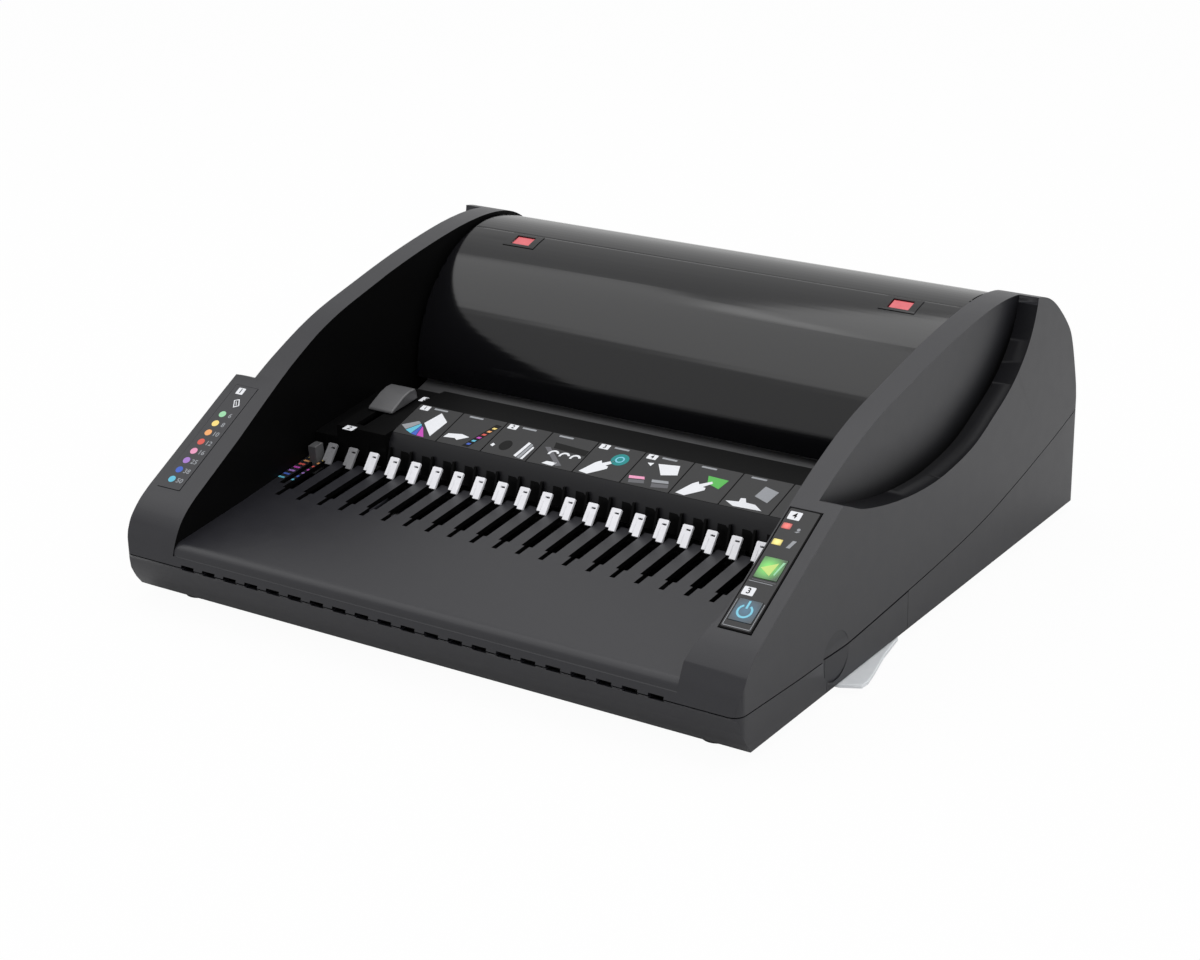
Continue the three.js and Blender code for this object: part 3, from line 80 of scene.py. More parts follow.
# %% Set the camera
TURN, TILT, ROLL = 0.5898, 0.3744, -0.0197
FOCUS_PIXELS, IMAGE_WIDTH, SENSOR = 2539.5, 1200, 36.0

view = Vector((-sin(TURN) * cos(TILT), cos(TURN) * cos(TILT), -sin(TILT)))
level = Vector((cos(TURN), sin(TURN), 0.0))
upright = level.cross(view)
right = cos(ROLL) * level + sin(ROLL) * upright
up = cos(ROLL) * upright - sin(ROLL) * level
lens = bpy.data.cameras.new("photo_lens")
lens.sensor_width, lens.lens = SENSOR, FOCUS_PIXELS / IMAGE_WIDTH * SENSOR
lens.clip_start, lens.clip_end = 0.01, 20.0
camera = added("photo_camera", lens)
turned = Matrix((right, up, -view)).transposed().to_4x4()
camera.matrix_world = Matrix.Translation(case_point(705.11, -882.19, 542.54)) @ turned
bpy.context.scene.camera = camera
print("lens", round(lens.lens, 2))

# %% [markdown]
# ## Modelling by hand, in code
# Blender's operators act on all that is selected, so each step starts with nothing selected. A piece of
# the frame that has the right shape but knife-sharp edges is copied, its loose triangles are merged into
# whole faces, and its edges are rounded as the tool that moulds the real piece would leave them. A whole
# face that runs round a hole can fold over itself when it is drawn, so it is cut into plain faces again.

# %% Helpers that select and finish
def nothing_selected():
    """Leaves edit mode and clears the selection."""
    if bpy.context.object and bpy.context.object.mode != "OBJECT":
        bpy.ops.object.mode_set(mode="OBJECT")
    bpy.ops.object.select_all(action="DESELECT")


def take(piece):
    """Makes one piece the only selected and the active one."""
    nothing_selected()
    piece.select_set(True)
    bpy.context.view_layer.objects.active = piece


@contextmanager
def editing(piece):
    """Opens the mesh of one piece for a while, with all of it selected."""
    take(piece)
    bpy.ops.object.mode_set(mode="EDIT")
    bpy.ops.mesh.select_all(action="SELECT")
    yield
    bpy.ops.object.mode_set(mode="OBJECT")


def settled(piece):
    """Puts the place, turn and size of a piece into its mesh."""
    take(piece)
    bpy.ops.object.transform_apply(location=True, rotation=True, scale=True)
    return piece


def named(piece, name):
    piece.name = piece.data.name = name
    return piece


def pick(piece, kind, wanted):
    """In edit mode, selects the edges or faces for which wanted(element) is true, and counts them."""
    bpy.ops.mesh.select_mode(type=kind)
    bpy.ops.mesh.select_all(action="DESELECT")
    net = bmesh.from_edit_mesh(piece.data)
    chosen = [element for element in (net.edges if kind == "EDGE" else net.faces) if wanted(element)]
    for element in chosen:
        element.select_set(True)
    net.select_flush_mode()
    bmesh.update_edit_mesh(piece.data)
    return len(chosen)


# Degrees above which an edge is rounded and below which faces are one, and millimetres below which points
# are merged, after a bevel and in a fresh mesh. HAIR is in metres.
SHARP, FLAT = 28.0, 0.6
MERGE, SAME_POINT = 0.004, 0.002
HAIR = 0.0002


def edge_turn(edge):
    """The angle in degrees between the two faces at an edge, negative where it is hollow."""
    return degrees(edge.calc_face_angle_signed(0.0))


def bevelled(piece, wanted, segments, **offset):
    """Bevels the edges that pass the test, and counts them."""
    with editing(piece):
        count = pick(piece, "EDGE", wanted)
        if count:
            bpy.ops.mesh.bevel(segments=segments, profile=0.5, clamp_overlap=True, **offset)
            bpy.ops.mesh.select_all(action="SELECT")
            bpy.ops.mesh.remove_doubles(threshold=MERGE * MM)
    return count


def round_edges(piece, width, segments=2, wanted=None, least_turn=SHARP):
    """Bevels the edges that turn by more than an angle and pass the test, by a width in millimetres."""
    def chosen(edge):
        return abs(edge_turn(edge)) > least_turn and (wanted is None or wanted(edge))
    return bevelled(piece, chosen, segments, offset=width * MM)


def split_hollow_faces(piece):
    """Cuts each face with a hollow corner into plain ones, so that none folds over itself."""
    with editing(piece):
        bpy.ops.mesh.vert_connect_concave()


def smooth_shading(piece, least_turn=38.0):
    take(piece)
    bpy.ops.object.shade_smooth_by_angle(angle=radians(least_turn))
    piece.modifiers.new("even_light", "WEIGHTED_NORMAL").keep_sharp = True
    bpy.ops.object.modifier_apply(modifier="even_light")
    return piece


def copy_of(node, name):
    """A piece of its own with the shape of a node, its triangles merged into flat faces."""
    piece = added(name, NODES[node].data.copy())
    with editing(piece):
        bpy.ops.mesh.remove_doubles(threshold=SAME_POINT * MM)
        bpy.ops.mesh.dissolve_limited(angle_limit=radians(FLAT))
    return named(piece, name)


def rounded_copy(node, name, width, segments, split_first=True):
    """A copy with rounded edges that stands in for its node."""
    piece = copy_of(node, name)
    if split_first:
        split_hollow_faces(piece)
    count = round_edges(piece, width, segments)
    split_hollow_faces(piece)
    smooth_shading(piece)
    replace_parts(piece, node)
    print(name, "edges rounded", count, "faces", len(piece.data.polygons))
    return piece

# %% [markdown]
# ## Flat shapes on sloping faces
# Most of the small detail lies on faces that lean: the deck, the arms, the panel behind the hooks. Each of
# these planes is a matrix, so a shape is drawn flat, in millimetres across and up, then turned into place.
# A flat curve, with the outlines of its holes inside it, is the quickest way to draw such a shape. Its
# extrude value gives it thickness, and the result is a closed mesh.

# %% Planes and cut-outs
DECK_LEAN, ARM_LEAN, PANEL_LEAN = 5.22, 28.3, 16.31


def sloping(origin, lean, lift=0.0):
    """A plane that leans about the line from left to right, from its origin in the case and its lift."""
    turn = Matrix.Rotation(radians(lean), 4, "X")
    return Matrix.Translation(case_point(*origin)) @ turn @ Matrix.Translation((0, 0, lift * MM))


DECK_FRONT, PANEL_MIDDLE = (0, 0, 33.8), (170.7, 57.1, 72.9)
DECK = sloping(DECK_FRONT, DECK_LEAN)
RIGHT_ARM = sloping(PANEL_MIDDLE, ARM_LEAN, 0.3)
LEFT_ARM = sloping((-174, 57.1, 72.9), ARM_LEAN, 0.1)
GUIDE_PANEL = sloping((0, 133, 63.5), PANEL_LEAN, 0.1)


def rectangle(across, upwards, width, height):
    """The corners of a rectangle from its middle and its size."""
    x, y = width / 2, height / 2
    return [(across + i * x, upwards + j * y) for i, j in ((-1, -1), (1, -1), (1, 1), (-1, 1))]


def circle(across, upwards, radius, steps=24, start=0.0, end=360.0):
    """Points on an arc. A whole turn doesn't repeat its first point."""
    whole = abs(end - start) >= 360
    turns = [start + (end - start) * i / (steps if whole else steps - 1) for i in range(steps)]
    return [(across + radius * cos(radians(t)), upwards + radius * sin(radians(t))) for t in turns]


def ring(across, upwards, outer, inner, start=0.0, end=360.0):
    """The outlines of a ring, or the one outline of a part of it."""
    outside = circle(across, upwards, outer, 24, start, end)
    inside = circle(across, upwards, inner, 24, start, end)
    return [outside, inside] if abs(end - start) >= 360 else [outside + inside[::-1]]


def as_mesh(drawn, thickness, bottom):
    """Makes a flat curve or a text a closed mesh that stands on a height above its plane."""
    drawn.data.extrude = thickness * MM / 2
    drawn.location.z = (bottom + thickness / 2) * MM
    take(drawn)
    bpy.ops.object.convert(target="MESH")
    return settled(bpy.context.object)


def cut_out(name, outlines, thickness, bottom=0.0):
    """A flat piece from its outline and those of its holes."""
    curve = bpy.data.curves.new(name, "CURVE")
    curve.dimensions, curve.fill_mode = "2D", "BOTH"
    for outline in outlines:
        line = curve.splines.new("POLY")
        line.points.add(len(outline) - 1)
        for point, (across, upwards) in zip(line.points, outline):
            point.co = (across * MM, upwards * MM, 0, 1)
        line.use_cyclic_u = True
    return as_mesh(added(name, curve), thickness, bottom)


def closed(piece):
    """Merges the doubled points of a mesh and turns its faces outwards."""
    with editing(piece):
        bpy.ops.mesh.remove_doubles(threshold=SAME_POINT * MM)
        bpy.ops.mesh.normals_make_consistent(inside=False)
    return piece


def joined(name, pieces):
    take(pieces[0])
    for piece in pieces[1:]:
        piece.select_set(True)
    if len(pieces) > 1:
        bpy.ops.object.join()
    return closed(named(bpy.context.object, name))


def placed(piece, plane):
    piece.matrix_world = plane
    return settled(piece)


# %% [markdown]
# ## A small kit for finishes
# A material in Blender is a net of nodes. Sums on numbers that change over a surface read best as plain
# sums, so one small class wraps the output of a node and turns + - * / ** and > into Math nodes. A second
# class makes every other node, from its type, its settings and its sockets, and a third is a material.

# %% Nodes written as sums
class Wire:
    """What comes out of a node. Sums and comparisons on it add Math nodes."""

    def __init__(self, net, socket):
        self.net, self.socket = net, socket

    def maths(self, operation, other):
        return self.net.node("ShaderNodeMath", {"operation": operation}, {0: self, 1: other})


for sign, operation in {
    "add": "ADD", "radd": "ADD", "sub": "SUBTRACT", "mul": "MULTIPLY", "rmul": "MULTIPLY",
    "truediv": "DIVIDE", "gt": "GREATER_THAN", "pow": "POWER",
}.items():
    setattr(Wire, f"__{sign}__", partialmethod(Wire.maths, operation))


class Net:
    """The nodes of a material or of the world."""

    def __init__(self, tree):
        self.tree = tree

    def node(self, kind, settings, sockets, output=0):
        made = self.tree.nodes.new(kind)
        for setting, value in settings.items():
            setattr(made, setting, value)
        for socket, value in sockets.items():
            if isinstance(value, Wire):
                self.tree.links.new(value.socket, made.inputs[socket])
            else:
                made.inputs[socket].default_value = value
        return Wire(self, made.outputs[output])


class Finish(Net):
    """A material with one Principled shader, built up node by node."""

    def __init__(self, name, **constants):
        self.material = bpy.data.materials.new(name)
        self.material.use_nodes = True
        super().__init__(self.material.node_tree)
        self.shader = self.tree.nodes["Principled BSDF"]
        for socket, value in constants.items():
            self.shader.inputs[socket.replace("_", " ")].default_value = value

    def feed(self, socket, wire):
        self.tree.links.new(wire.socket, self.shader.inputs[socket])
        return self

    def place(self):
        return self.node("ShaderNodeTexCoord", {}, {}, "Object")

    def noise(self, size, detail=2.0, place=None):
        """Soft random spots of a size in millimetres, from 0 to 1."""
        sockets = {"Vector": place or self.place(), "Scale": 1 / (size * MM), "Detail": detail}
        return self.node("ShaderNodeTexNoise", {}, sockets, "Fac")

    def mix(self, factor, first, second):
        """From the first colour at a factor of 0 to the second at 1."""
        return self.node("ShaderNodeMix", {"data_type": "RGBA"}, {0: factor, 6: first, 7: second}, 2)

    def axis(self, letter):
        """How far along X, Y or Z the shaded point lies."""
        return self.node("ShaderNodeSeparateXYZ", {}, {0: self.place()}, letter)

    def blended(self, factor, other):
        """Mixes in another shader, which shows fully where the factor is 1."""
        mixed = self.node("ShaderNodeMixShader", {}, {0: factor, 2: other})
        self.tree.links.new(self.shader.outputs[0], mixed.socket.node.inputs[1])
        self.tree.links.new(mixed.socket, self.tree.nodes["Material Output"].inputs["Surface"])
        return self

    def nearness(self, centre, reach):
        """1 at a point, falling to 0 at a distance in millimetres."""
        settings = {"operation": "DISTANCE"}
        gap = self.node("ShaderNodeVectorMath", settings, {0: self.place(), 1: centre}, "Value")
        clamped = {"operation": "SUBTRACT", "use_clamp": True}
        return self.node("ShaderNodeMath", clamped, {0: 1.0, 1: gap / (reach * MM)})

    def grain(self, height, depth, strength=1.0):
        """Lets a height from 0 to 1 stand a depth in millimetres proud of the surface."""
        bump = {"Height": height, "Distance": depth * MM, "Strength": strength}
        return self.feed("Normal", self.node("ShaderNodeBump", {}, bump))


def grey(level, tint=0.0):
    """A colour with four numbers from one brightness, a little bluer with a positive tint."""
    return (level, level, level * (1 + tint), 1.0)


def dressed(piece, *finishes):
    """Gives a piece its materials, the first one to all faces."""
    piece.data.materials.clear()
    for finish in finishes:
        piece.data.materials.append(finish.material)
    return piece


# %% [markdown]
# ## Moulded plastic
# The case is moulded in a tool whose walls are eroded by sparks, which leaves a fine even grain. Under
# soft light it shows as a slightly uneven sheen and faint mottling. The same recipe, with other colours
# and depths, makes the black console, the grey knob and the white hooks.

# %% Finishes of the mouldings
def moulding(name, level, tint=0.04, rough=0.46, grain_size=0.55, depth=0.03, shine=0.5):
    finish = Finish(name, Specular_IOR_Level=shine)
    spots = finish.noise(9.0, 4.0)
    fine = finish.noise(grain_size, 3.0)
    dark, light = grey(level * 0.86, tint), grey(level * 1.14, tint)
    finish.feed("Base Color", finish.mix(spots * 0.6 + fine * 0.4, dark, light))
    finish.feed("Roughness", spots * 0.08 + fine * 0.06 + (rough - 0.07))
    return finish.grain(fine, depth)


CHARCOAL = {"level": 0.013, "tint": 0.25, "rough": 0.36, "shine": 0.42}
charcoal = moulding("charcoal_case", **CHARCOAL)
dark_charcoal = moulding("dark_charcoal", 0.007, tint=0.2, rough=0.4, shine=0.12)
satin_black = moulding("satin_black", 0.0025, rough=0.42, depth=0.012, shine=0.05)
film_grey = moulding("film_grey", 0.022, rough=0.36, grain_size=0.3, depth=0.004, shine=0.25)
console_grey = moulding("console_grey", 0.008, tint=0.2, rough=0.42, shine=0.25)
knob_grey = moulding("knob_grey", 0.075, rough=0.4, depth=0.015)
hook_white = moulding("hook_white", 0.72, tint=0.05, rough=0.34, depth=0.008)
# A grey hook finish that paints shade on the first two hooks.
hook_painted_shade = moulding("hook_painted_shade", 0.2, tint=0.05, rough=0.34, depth=0.008)
foot_rubber = moulding("foot_rubber", 0.018, rough=0.7, grain_size=0.9, depth=0.05)
inner_grey = moulding("inner_grey", 0.05, rough=0.5, depth=0.015)

# %% The wall of the crescent, with painted shade
# It is charcoal too, with shade painted in deep in the crescent, along its ledge, where hardly any light
# reaches it.
# The ledge is a curve in Y and Z that is lowest at one place and rises faster and faster to the rear.
crescent_wall_painted_shade = moulding("crescent_wall_painted_shade", **CHARCOAL)
painted_deep_shade = crescent_wall_painted_shade.node("ShaderNodeBsdfPrincipled", {}, {
    "Base Color": grey(0.0015), "Roughness": 0.5, "Specular IOR Level": 0.04}, "BSDF")
LEDGE_LOWEST, LEDGE_FLOOR, SHADE_WIDTH = 0.013, 0.0765, 0.032
RISE, STEEP_RISE = 3.5, 72
rearward = crescent_wall_painted_shade.axis("Y") - LEDGE_LOWEST
rearward = rearward.maths("MAXIMUM", 0.0)
ledge_height = rearward ** 2 * RISE + rearward ** 4 * STEEP_RISE + LEDGE_FLOOR
above_ledge = (crescent_wall_painted_shade.axis("Z") - ledge_height) / SHADE_WIDTH
clamped = {"operation": "SUBTRACT", "use_clamp": True}
shade_left = crescent_wall_painted_shade.node("ShaderNodeMath", clamped, {0: 1.0, 1: above_ledge})
crescent_wall_painted_shade.blended(shade_left ** 1.6, painted_deep_shade)

# %% [markdown]
# ## Gloss, frost and metal
# The lid is polished: hardly any grain, only a slow waviness that makes its long reflections live. The
# drawer is frosted plastic that lets light through. Metal parts inside are turned, rolled or plated, so
# their fine scratches run one way.

# %% Finishes of the lid, the drawer and the works
lid_gloss = Finish("lid_gloss")
wave = lid_gloss.noise(38.0, 1.0)
speck = lid_gloss.noise(0.9, 2.0)
lid_gloss.feed("Base Color", lid_gloss.mix(speck, grey(0.003, 0.2), grey(0.005, 0.2)))
lid_gloss.feed("Roughness", wave * 0.03 + speck * 0.02 + 0.09)
lid_gloss.grain(wave, 0.02)

frost = Finish("frosted_tray", Transmission_Weight=0.18, IOR=1.46)
cloud = frost.noise(4.0, 4.0)
frost.feed("Base Color", frost.mix(cloud, (0.8, 0.83, 0.86, 1), (0.9, 0.92, 0.94, 1)))
frost.feed("Roughness", cloud * 0.12 + 0.42)
frost.grain(frost.noise(0.5, 2.0), 0.02)


def metal(name, level, rough, stretch, tint=0.0):
    """Metal with fine lines, stretched along an axis by the three numbers."""
    finish = Finish(name, Metallic=1.0)
    stretched = finish.node("ShaderNodeMapping", {}, {"Vector": finish.place(), "Scale": stretch})
    lines = finish.noise(0.6, 4.0, stretched)
    finish.feed("Base Color", finish.mix(lines, grey(level * 0.82, tint), grey(level, tint)))
    finish.feed("Roughness", lines * 0.18 + rough)
    return finish.grain(lines, 0.012)


steel_rod = metal("steel_rod", 0.62, 0.18, (0.08, 1, 1))
burnished_rod = metal("burnished_rod", 0.03, 0.4, (0.08, 1, 1), 0.2)
die_steel = metal("die_steel", 0.42, 0.3, (0.05, 1, 1))
zinc_plate = metal("zinc_plate", 0.55, 0.32, (1, 1, 0.2), 0.06)
gear_steel = metal("gear_steel", 0.34, 0.34, (1, 0.3, 1))
motor_can = metal("motor_can", 0.3, 0.26, (0.06, 1, 1))
spring_steel = metal("spring_steel", 0.4, 0.25, (1, 1, 1))
sintered_bronze = Finish("sintered_bronze", Metallic=1.0, Roughness=0.45)
pores = sintered_bronze.noise(0.4, 3.0)
bronze_pore, bronze = (0.24, 0.15, 0.07, 1), (0.48, 0.31, 0.15, 1)
sintered_bronze.feed("Base Color", sintered_bronze.mix(pores, bronze_pore, bronze))
circuit_green = Finish("circuit_green", Roughness=0.38)
tracks = circuit_green.noise(2.2, 5.0) > 0.53
board_green, track_green = (0.006, 0.045, 0.02, 1), (0.012, 0.085, 0.035, 1)
circuit_green.feed("Base Color", circuit_green.mix(tracks, board_green, track_green))
circuit_green.grain(tracks, 0.02)
print("finishes", len(bpy.data.materials))

# %% [markdown]
# ## The case
# The upper case is one moulding: the front lip, the deck with its slots, and the two arms. Its crests and
# outer shoulders are well rounded, the foot of each inner wall has a small hollow round, and all other
# edges are only broken. The inner walls, the slots and the ledges of the crescents are darker, as painted
# shade, so their faces get finishes of their own, and the wall of each crescent gets a painted shade along
# its ledge. The large faces of the base surround its vents and are split before its edges are rounded.

# %% Round the case
case_low, case_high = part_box("upper_case")
half_width = (case_high.x - case_low.x) / 2
middle_x = (case_high.x + case_low.x) / 2


# The tests below ask where an edge or a face lies, in metres, with X from the middle of the case. SKIN is
# how near the outer side its edges are, and LIP_TURN the sharpest turn in degrees on the front lip.
SKIN, BELOW_SHOULDER = 0.0006, 0.02
ARM_X, WALL_FOOT_X, PRINTS_Y, LIP_REAR_Y = 0.15, (0.155, 0.163), (-0.165, -0.085), -0.14
RECESS_Y, RECESS_TOP, LIP_TURN = -0.055, 0.105, 60
CORNER_INSET, CORNER_Y, CORNER_TURN, FOOT_TURN = 0.006, -0.15, 25, -40


def edge_place(edge):
    """The middle of an edge, its X from the middle of the case."""
    middle = (edge.verts[0].co + edge.verts[1].co) / 2
    return middle.x - middle_x, middle.y, middle.z


def in_recess(edge):
    """The outer edge of the crescent, which slopes up to the rear."""
    for face in edge.link_faces:
        middle = face.calc_center_median()
        leans_forwards = face.normal.z > 0.2 and face.normal.y < -0.02
        if leans_forwards and middle.y > RECESS_Y and middle.z < RECESS_TOP:
            return True
    return False


def on_shoulder(edge):
    """The outer edges along the crests of both arms and round their rear."""
    x, _, z = edge_place(edge)
    if edge_turn(edge) <= 0 or abs(x) < half_width - SKIN or z < case_low.z + BELOW_SHOULDER:
        return False
    return all(face.normal.z > -0.3 for face in edge.link_faces) and not in_recess(edge)


def on_crest(edge):
    """The inner and recess edges of the crests."""
    x = edge_place(edge)[0]
    tops = [face for face in edge.link_faces if face.normal.z > 0.25 and abs(face.normal.x) < 0.2]
    sides = [face for face in edge.link_faces if abs(face.normal.x) > 0.8]
    return edge_turn(edge) > 0 and len(tops) == len(sides) == 1 and ARM_X < abs(x) < half_width - SKIN


def on_curve(edge):
    """The edges from left to right where a curved face is made of flat strips."""
    x, y, _ = edge_place(edge)
    along = edge.verts[1].co - edge.verts[0].co
    beside_prints = abs(x) > ARM_X and PRINTS_Y[0] < y < PRINTS_Y[1]
    sharpest = LIP_TURN if y < LIP_REAR_Y else SHARP
    return abs(along.x) > 0.97 * along.length and 3 < abs(edge_turn(edge)) < sharpest and not beside_prints


def at_front_corner(edge):
    """The upright edges at the front corners."""
    x, y, _ = edge_place(edge)
    return abs(x) > half_width - CORNER_INSET and y < CORNER_Y and edge_turn(edge) > CORNER_TURN


def at_wall_foot(edge):
    """The hollow edges where the inner walls stand on the deck."""
    x = abs(edge_place(edge)[0])
    on_deck = any(face.normal.z > 0.95 for face in edge.link_faces)
    return edge_turn(edge) < FOOT_TURN and WALL_FOOT_X[0] < x < WALL_FOOT_X[1] and on_deck


case_shell = copy_of("upper_case", "case_shell")
# On a curve, each edge is rounded by a share in percent of the flat strips beside it.
print("curves", bevelled(case_shell, on_curve, 3, offset_type="PERCENT", offset_pct=42))
for place, *how in (
    ("wall feet", 1.1, 2, at_wall_foot, 40.0), ("shoulder", 1.8, 4, on_shoulder, 12.0),
    ("crest", 0.9, 3, on_crest, 40.0), ("rest", 0.3, 2, None, SHARP),
):
    print(place, round_edges(case_shell, *how))
smooth_shading(case_shell)
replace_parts(case_shell, "upper_case")

# %% Colour the faces of the case
# The slots are taken in the plane of the deck. The crests begin at CREST_Y and CREST_Z.
WALL_X, SLOTS_X, SLOTS_Y = 0.1615, 0.150, (0.06, 0.125)
LEDGE_X, LEDGE_LOW, LEDGE_HIGH, BELOW_CREST = 0.170, 0.07, 0.138, 0.006
CRESCENT_X, OUTER_WALL, CREST_Y, CREST_Z = 0.165, 0.008, -0.1299, 0.0759
into_deck = DECK.inverted()


def in_painted_shade(face):
    """Inner walls, the sides of the comb slots and all that lies under the deck, which are painted black
    as shade.
    """
    x = face.center.x - middle_x
    inwards = face.normal.x * x < -0.5 * abs(x)
    on_deck = into_deck @ face.center
    if abs(x) < WALL_X and inwards and abs(face.normal.x) > 0.9:
        return True
    return abs(x) < SLOTS_X and on_deck.z < -HAIR and SLOTS_Y[0] < on_deck.y < SLOTS_Y[1]


def on_ledge(face):
    """The ledge at the foot of the crescent."""
    x = abs(face.center.x - middle_x)
    crest_height = CREST_Z + (face.center.y - CREST_Y) * tan(radians(ARM_LEAN))
    looks_up = face.normal.z > 0.25 and face.normal.y < 0.5 and LEDGE_X < x < half_width - 0.0005
    return looks_up and LEDGE_LOW < face.center.z < min(LEDGE_HIGH, crest_height - BELOW_CREST)


def in_crescent(face):
    """The wall of the crescent."""
    x = face.center.x - middle_x
    outwards = face.normal.x * x > 0.9 * abs(x) and CRESCENT_X < abs(x) < half_width - OUTER_WALL
    return outwards and face.center.z > LEDGE_LOW


dressed(case_shell, charcoal, satin_black, crescent_wall_painted_shade, dark_charcoal)
for face in case_shell.data.polygons:
    # The wall of the crescent gets the finish with painted shade along its ledge.
    if in_crescent(face):
        face.material_index = 2
    # The ledge is given dark charcoal as painted shade.
    elif on_ledge(face):
        face.material_index = 3
    # Inner walls and slot sides are painted black as shade.
    elif in_painted_shade(face):
        face.material_index = 1
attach(case_shell, "case")
slots = [face.material_index for face in case_shell.data.polygons]
print("case faces by finish", [slots.count(slot) for slot in range(4)])

# %% Round the base
base_shell = copy_of("base_pan", "base_shell")
split_hollow_faces(base_shell)
print("base corners", round_edges(base_shell, 2.5, 4, at_front_corner))
print("base edges", round_edges(base_shell, 0.5, 2))
split_hollow_faces(base_shell)
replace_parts(smooth_shading(base_shell), "base_pan")
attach(dressed(base_shell, charcoal), "case")

# %% [markdown]
# ## Console, knob, guide and drawer
# These mouldings have the right shape already. Each gets its edges rounded by as much as its size allows
# and rides on the body that carries it.

# %% Round the smaller mouldings
for node, name, width, steps, finish, body in (
    ("rear_cover", "rear_wall", 0.4, 2, charcoal, "case"),
    ("inner_cover", "inner_wall", 0.4, 2, inner_grey, "case"),
    ("opener_knob", "opener_grip", 1.1, 4, knob_grey, "comb_opener"),
    ("edge_guide", "edge_stop", 0.5, 3, knob_grey, "edge_guide"),
    ("drawer_front", "drawer_face", 0.4, 2, charcoal, "waste_drawer"),
    ("control_panel", "control_plate", 0.25, 2, satin_black, "case"),
    ("mains_inlet", "inlet_block", 0.4, 2, satin_black, "case"),
    ("die_plate_front", "front_die", 0.3, 2, die_steel, "case"),
    ("die_plate_rear", "rear_die", 0.3, 2, die_steel, "case"),
    ("motor", "motor_body", 0.4, 2, motor_can, "case"),
    ("frame_left", "side_frame_left", 0.25, 2, zinc_plate, "case"),
    ("frame_right", "side_frame_right", 0.25, 2, zinc_plate, "case"),
    ("motor_bracket", "motor_plate", 0.25, 2, zinc_plate, "case"),
):
    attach(dressed(rounded_copy(node, name, width, steps), finish), body)

# %% Give the tray a pale pull lip
PALE_INSIDE = 0.012
frosted_drawer = dressed(rounded_copy("waste_tray", "frosted_drawer", 0.6, 3), frost, dark_charcoal)
for face in frosted_drawer.data.polygons:
    if face.center.x < case_high.x - PALE_INSIDE:
        face.material_index = 1
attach(frosted_drawer, "waste_drawer")

# %% [markdown]
# ## The console
# Only the front wall of the console is grey like the case. Its ledge, the ridge behind the panel and the
# funnel for the sheets are black. The ribs between the hooks are left black too, as painted shade, so they
# read as fine dark lines, and a black band beside each hook is a painted shadow for the hollow that the
# hook draws back into.

# %% Round and colour the console
console_shell = rounded_copy("console", "console_shell", 0.35, 2, split_first=False)
dressed(console_shell, satin_black, console_grey)
PANEL_LEFT, CONSOLE_FOOT, PANEL_FRONT, LEAST_AREA = -0.1145, -0.0605, -0.053, 2 * MM * MM
# The sides of the ribs between the hooks stay black as painted shade.
for face in console_shell.data.polygons:
    middle = face.center
    in_front = face.normal.y < -0.3 and CONSOLE_FOOT < middle.y < PANEL_FRONT
    if in_front and middle.x > PANEL_LEFT and face.area > LEAST_AREA:
        face.material_index = 1
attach(console_shell, "case")

COMB_PITCH, COMB_RINGS = 14.2875, 21
HOOK_PLACES = [(i - (COMB_RINGS - 1) / 2) * COMB_PITCH for i in range(COMB_RINGS)]
FRONT_WALL = sloping((0, 127, 44.85), 79.6)
BAND = [(-1.0, 0.2), (5.8, 0.2), (5.4, 9.0), (3.6, 10.6), (-1.0, 10.8)]
bands = [[(x + across, upwards) for across, upwards in BAND] for x in HOOK_PLACES]
# Each band is a thin black sheet: a painted shadow beside its hook.
hook_painted_shadows = joined("hook_painted_shadows", [cut_out("hollow", [band], 0.12, 0.02) for band in bands])
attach(dressed(placed(hook_painted_shadows, FRONT_WALL), satin_black), "case")

# %% [markdown]
# ## The hooks
# A hook is a white plate that leans back over its slot, with a small window near its top, a notch beside
# its foot and a fine rib down its middle. One is drawn flat with the notch and the window, given its
# thickness and rounded. The other twenty are copies, each with its own mesh. Dark legs carry them on a
# bar under the deck.

# %% Hooks on their bar
HOOK_FOOT, HOOK_LEAN = (115.2, 0.3), 45.3
outline = [(-3, 1.5), (-0.7, 1.5), (-0.7, 0), (3, 0), (3, 11.8), (2.4, 12.2), (-2.4, 12.2), (-3, 11.8)]
window = rectangle(0.9, 9.6, 2.6, 0.9)
plate = cut_out("hook_plate", [outline, window], 1.5, -1.5)
rib = cut_out("hook_rib", [rectangle(-0.9, 5.0, 0.5, 5.6)], 0.25, -0.05)
hook = joined("hook", [plate, rib])
round_edges(hook, 0.22, 2)
smooth_shading(hook)
for i, x in enumerate(HOOK_PLACES):
    copy = added(f"hook_{i + 1:02d}", hook.data.copy())
    foot = Matrix.Translation(Vector((x, *HOOK_FOOT)) * MM)
    placed(copy, DECK @ foot @ Matrix.Rotation(radians(HOOK_LEAN), 4, "X"))
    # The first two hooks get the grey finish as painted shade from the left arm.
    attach(dressed(copy, hook_painted_shade if i < 2 else hook_white), "comb_opener")
bpy.data.objects.remove(hook)

leg_side = [(115.9, -7.9), (120.5, -7.9), (120.5, 3.2), (116.3, -0.9)]
across_deck = Matrix(((0, 0, 1, 0), (1, 0, 0, 0), (0, 1, 0, 0), (0, 0, 0, 1)))
bar_side = [(115.5, -7.9), (124.5, -7.9), (124.5, -6.4), (115.5, -6.4)]
reach = HOOK_PLACES[-1] + 3
sections = [cut_out("leg", [leg_side], 5.4, x - 2.7) for x in HOOK_PLACES]
sections.append(cut_out("bar", [bar_side], 2 * reach, -reach))
hook_bar = joined("hook_bar", sections)
placed(hook_bar, DECK @ across_deck)
round_edges(hook_bar, 0.3, 2)
smooth_shading(hook_bar)
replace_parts(hook_bar, "hook_comb")
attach(dressed(hook_bar, satin_black), "comb_opener")
print("hooks", len(HOOK_PLACES))

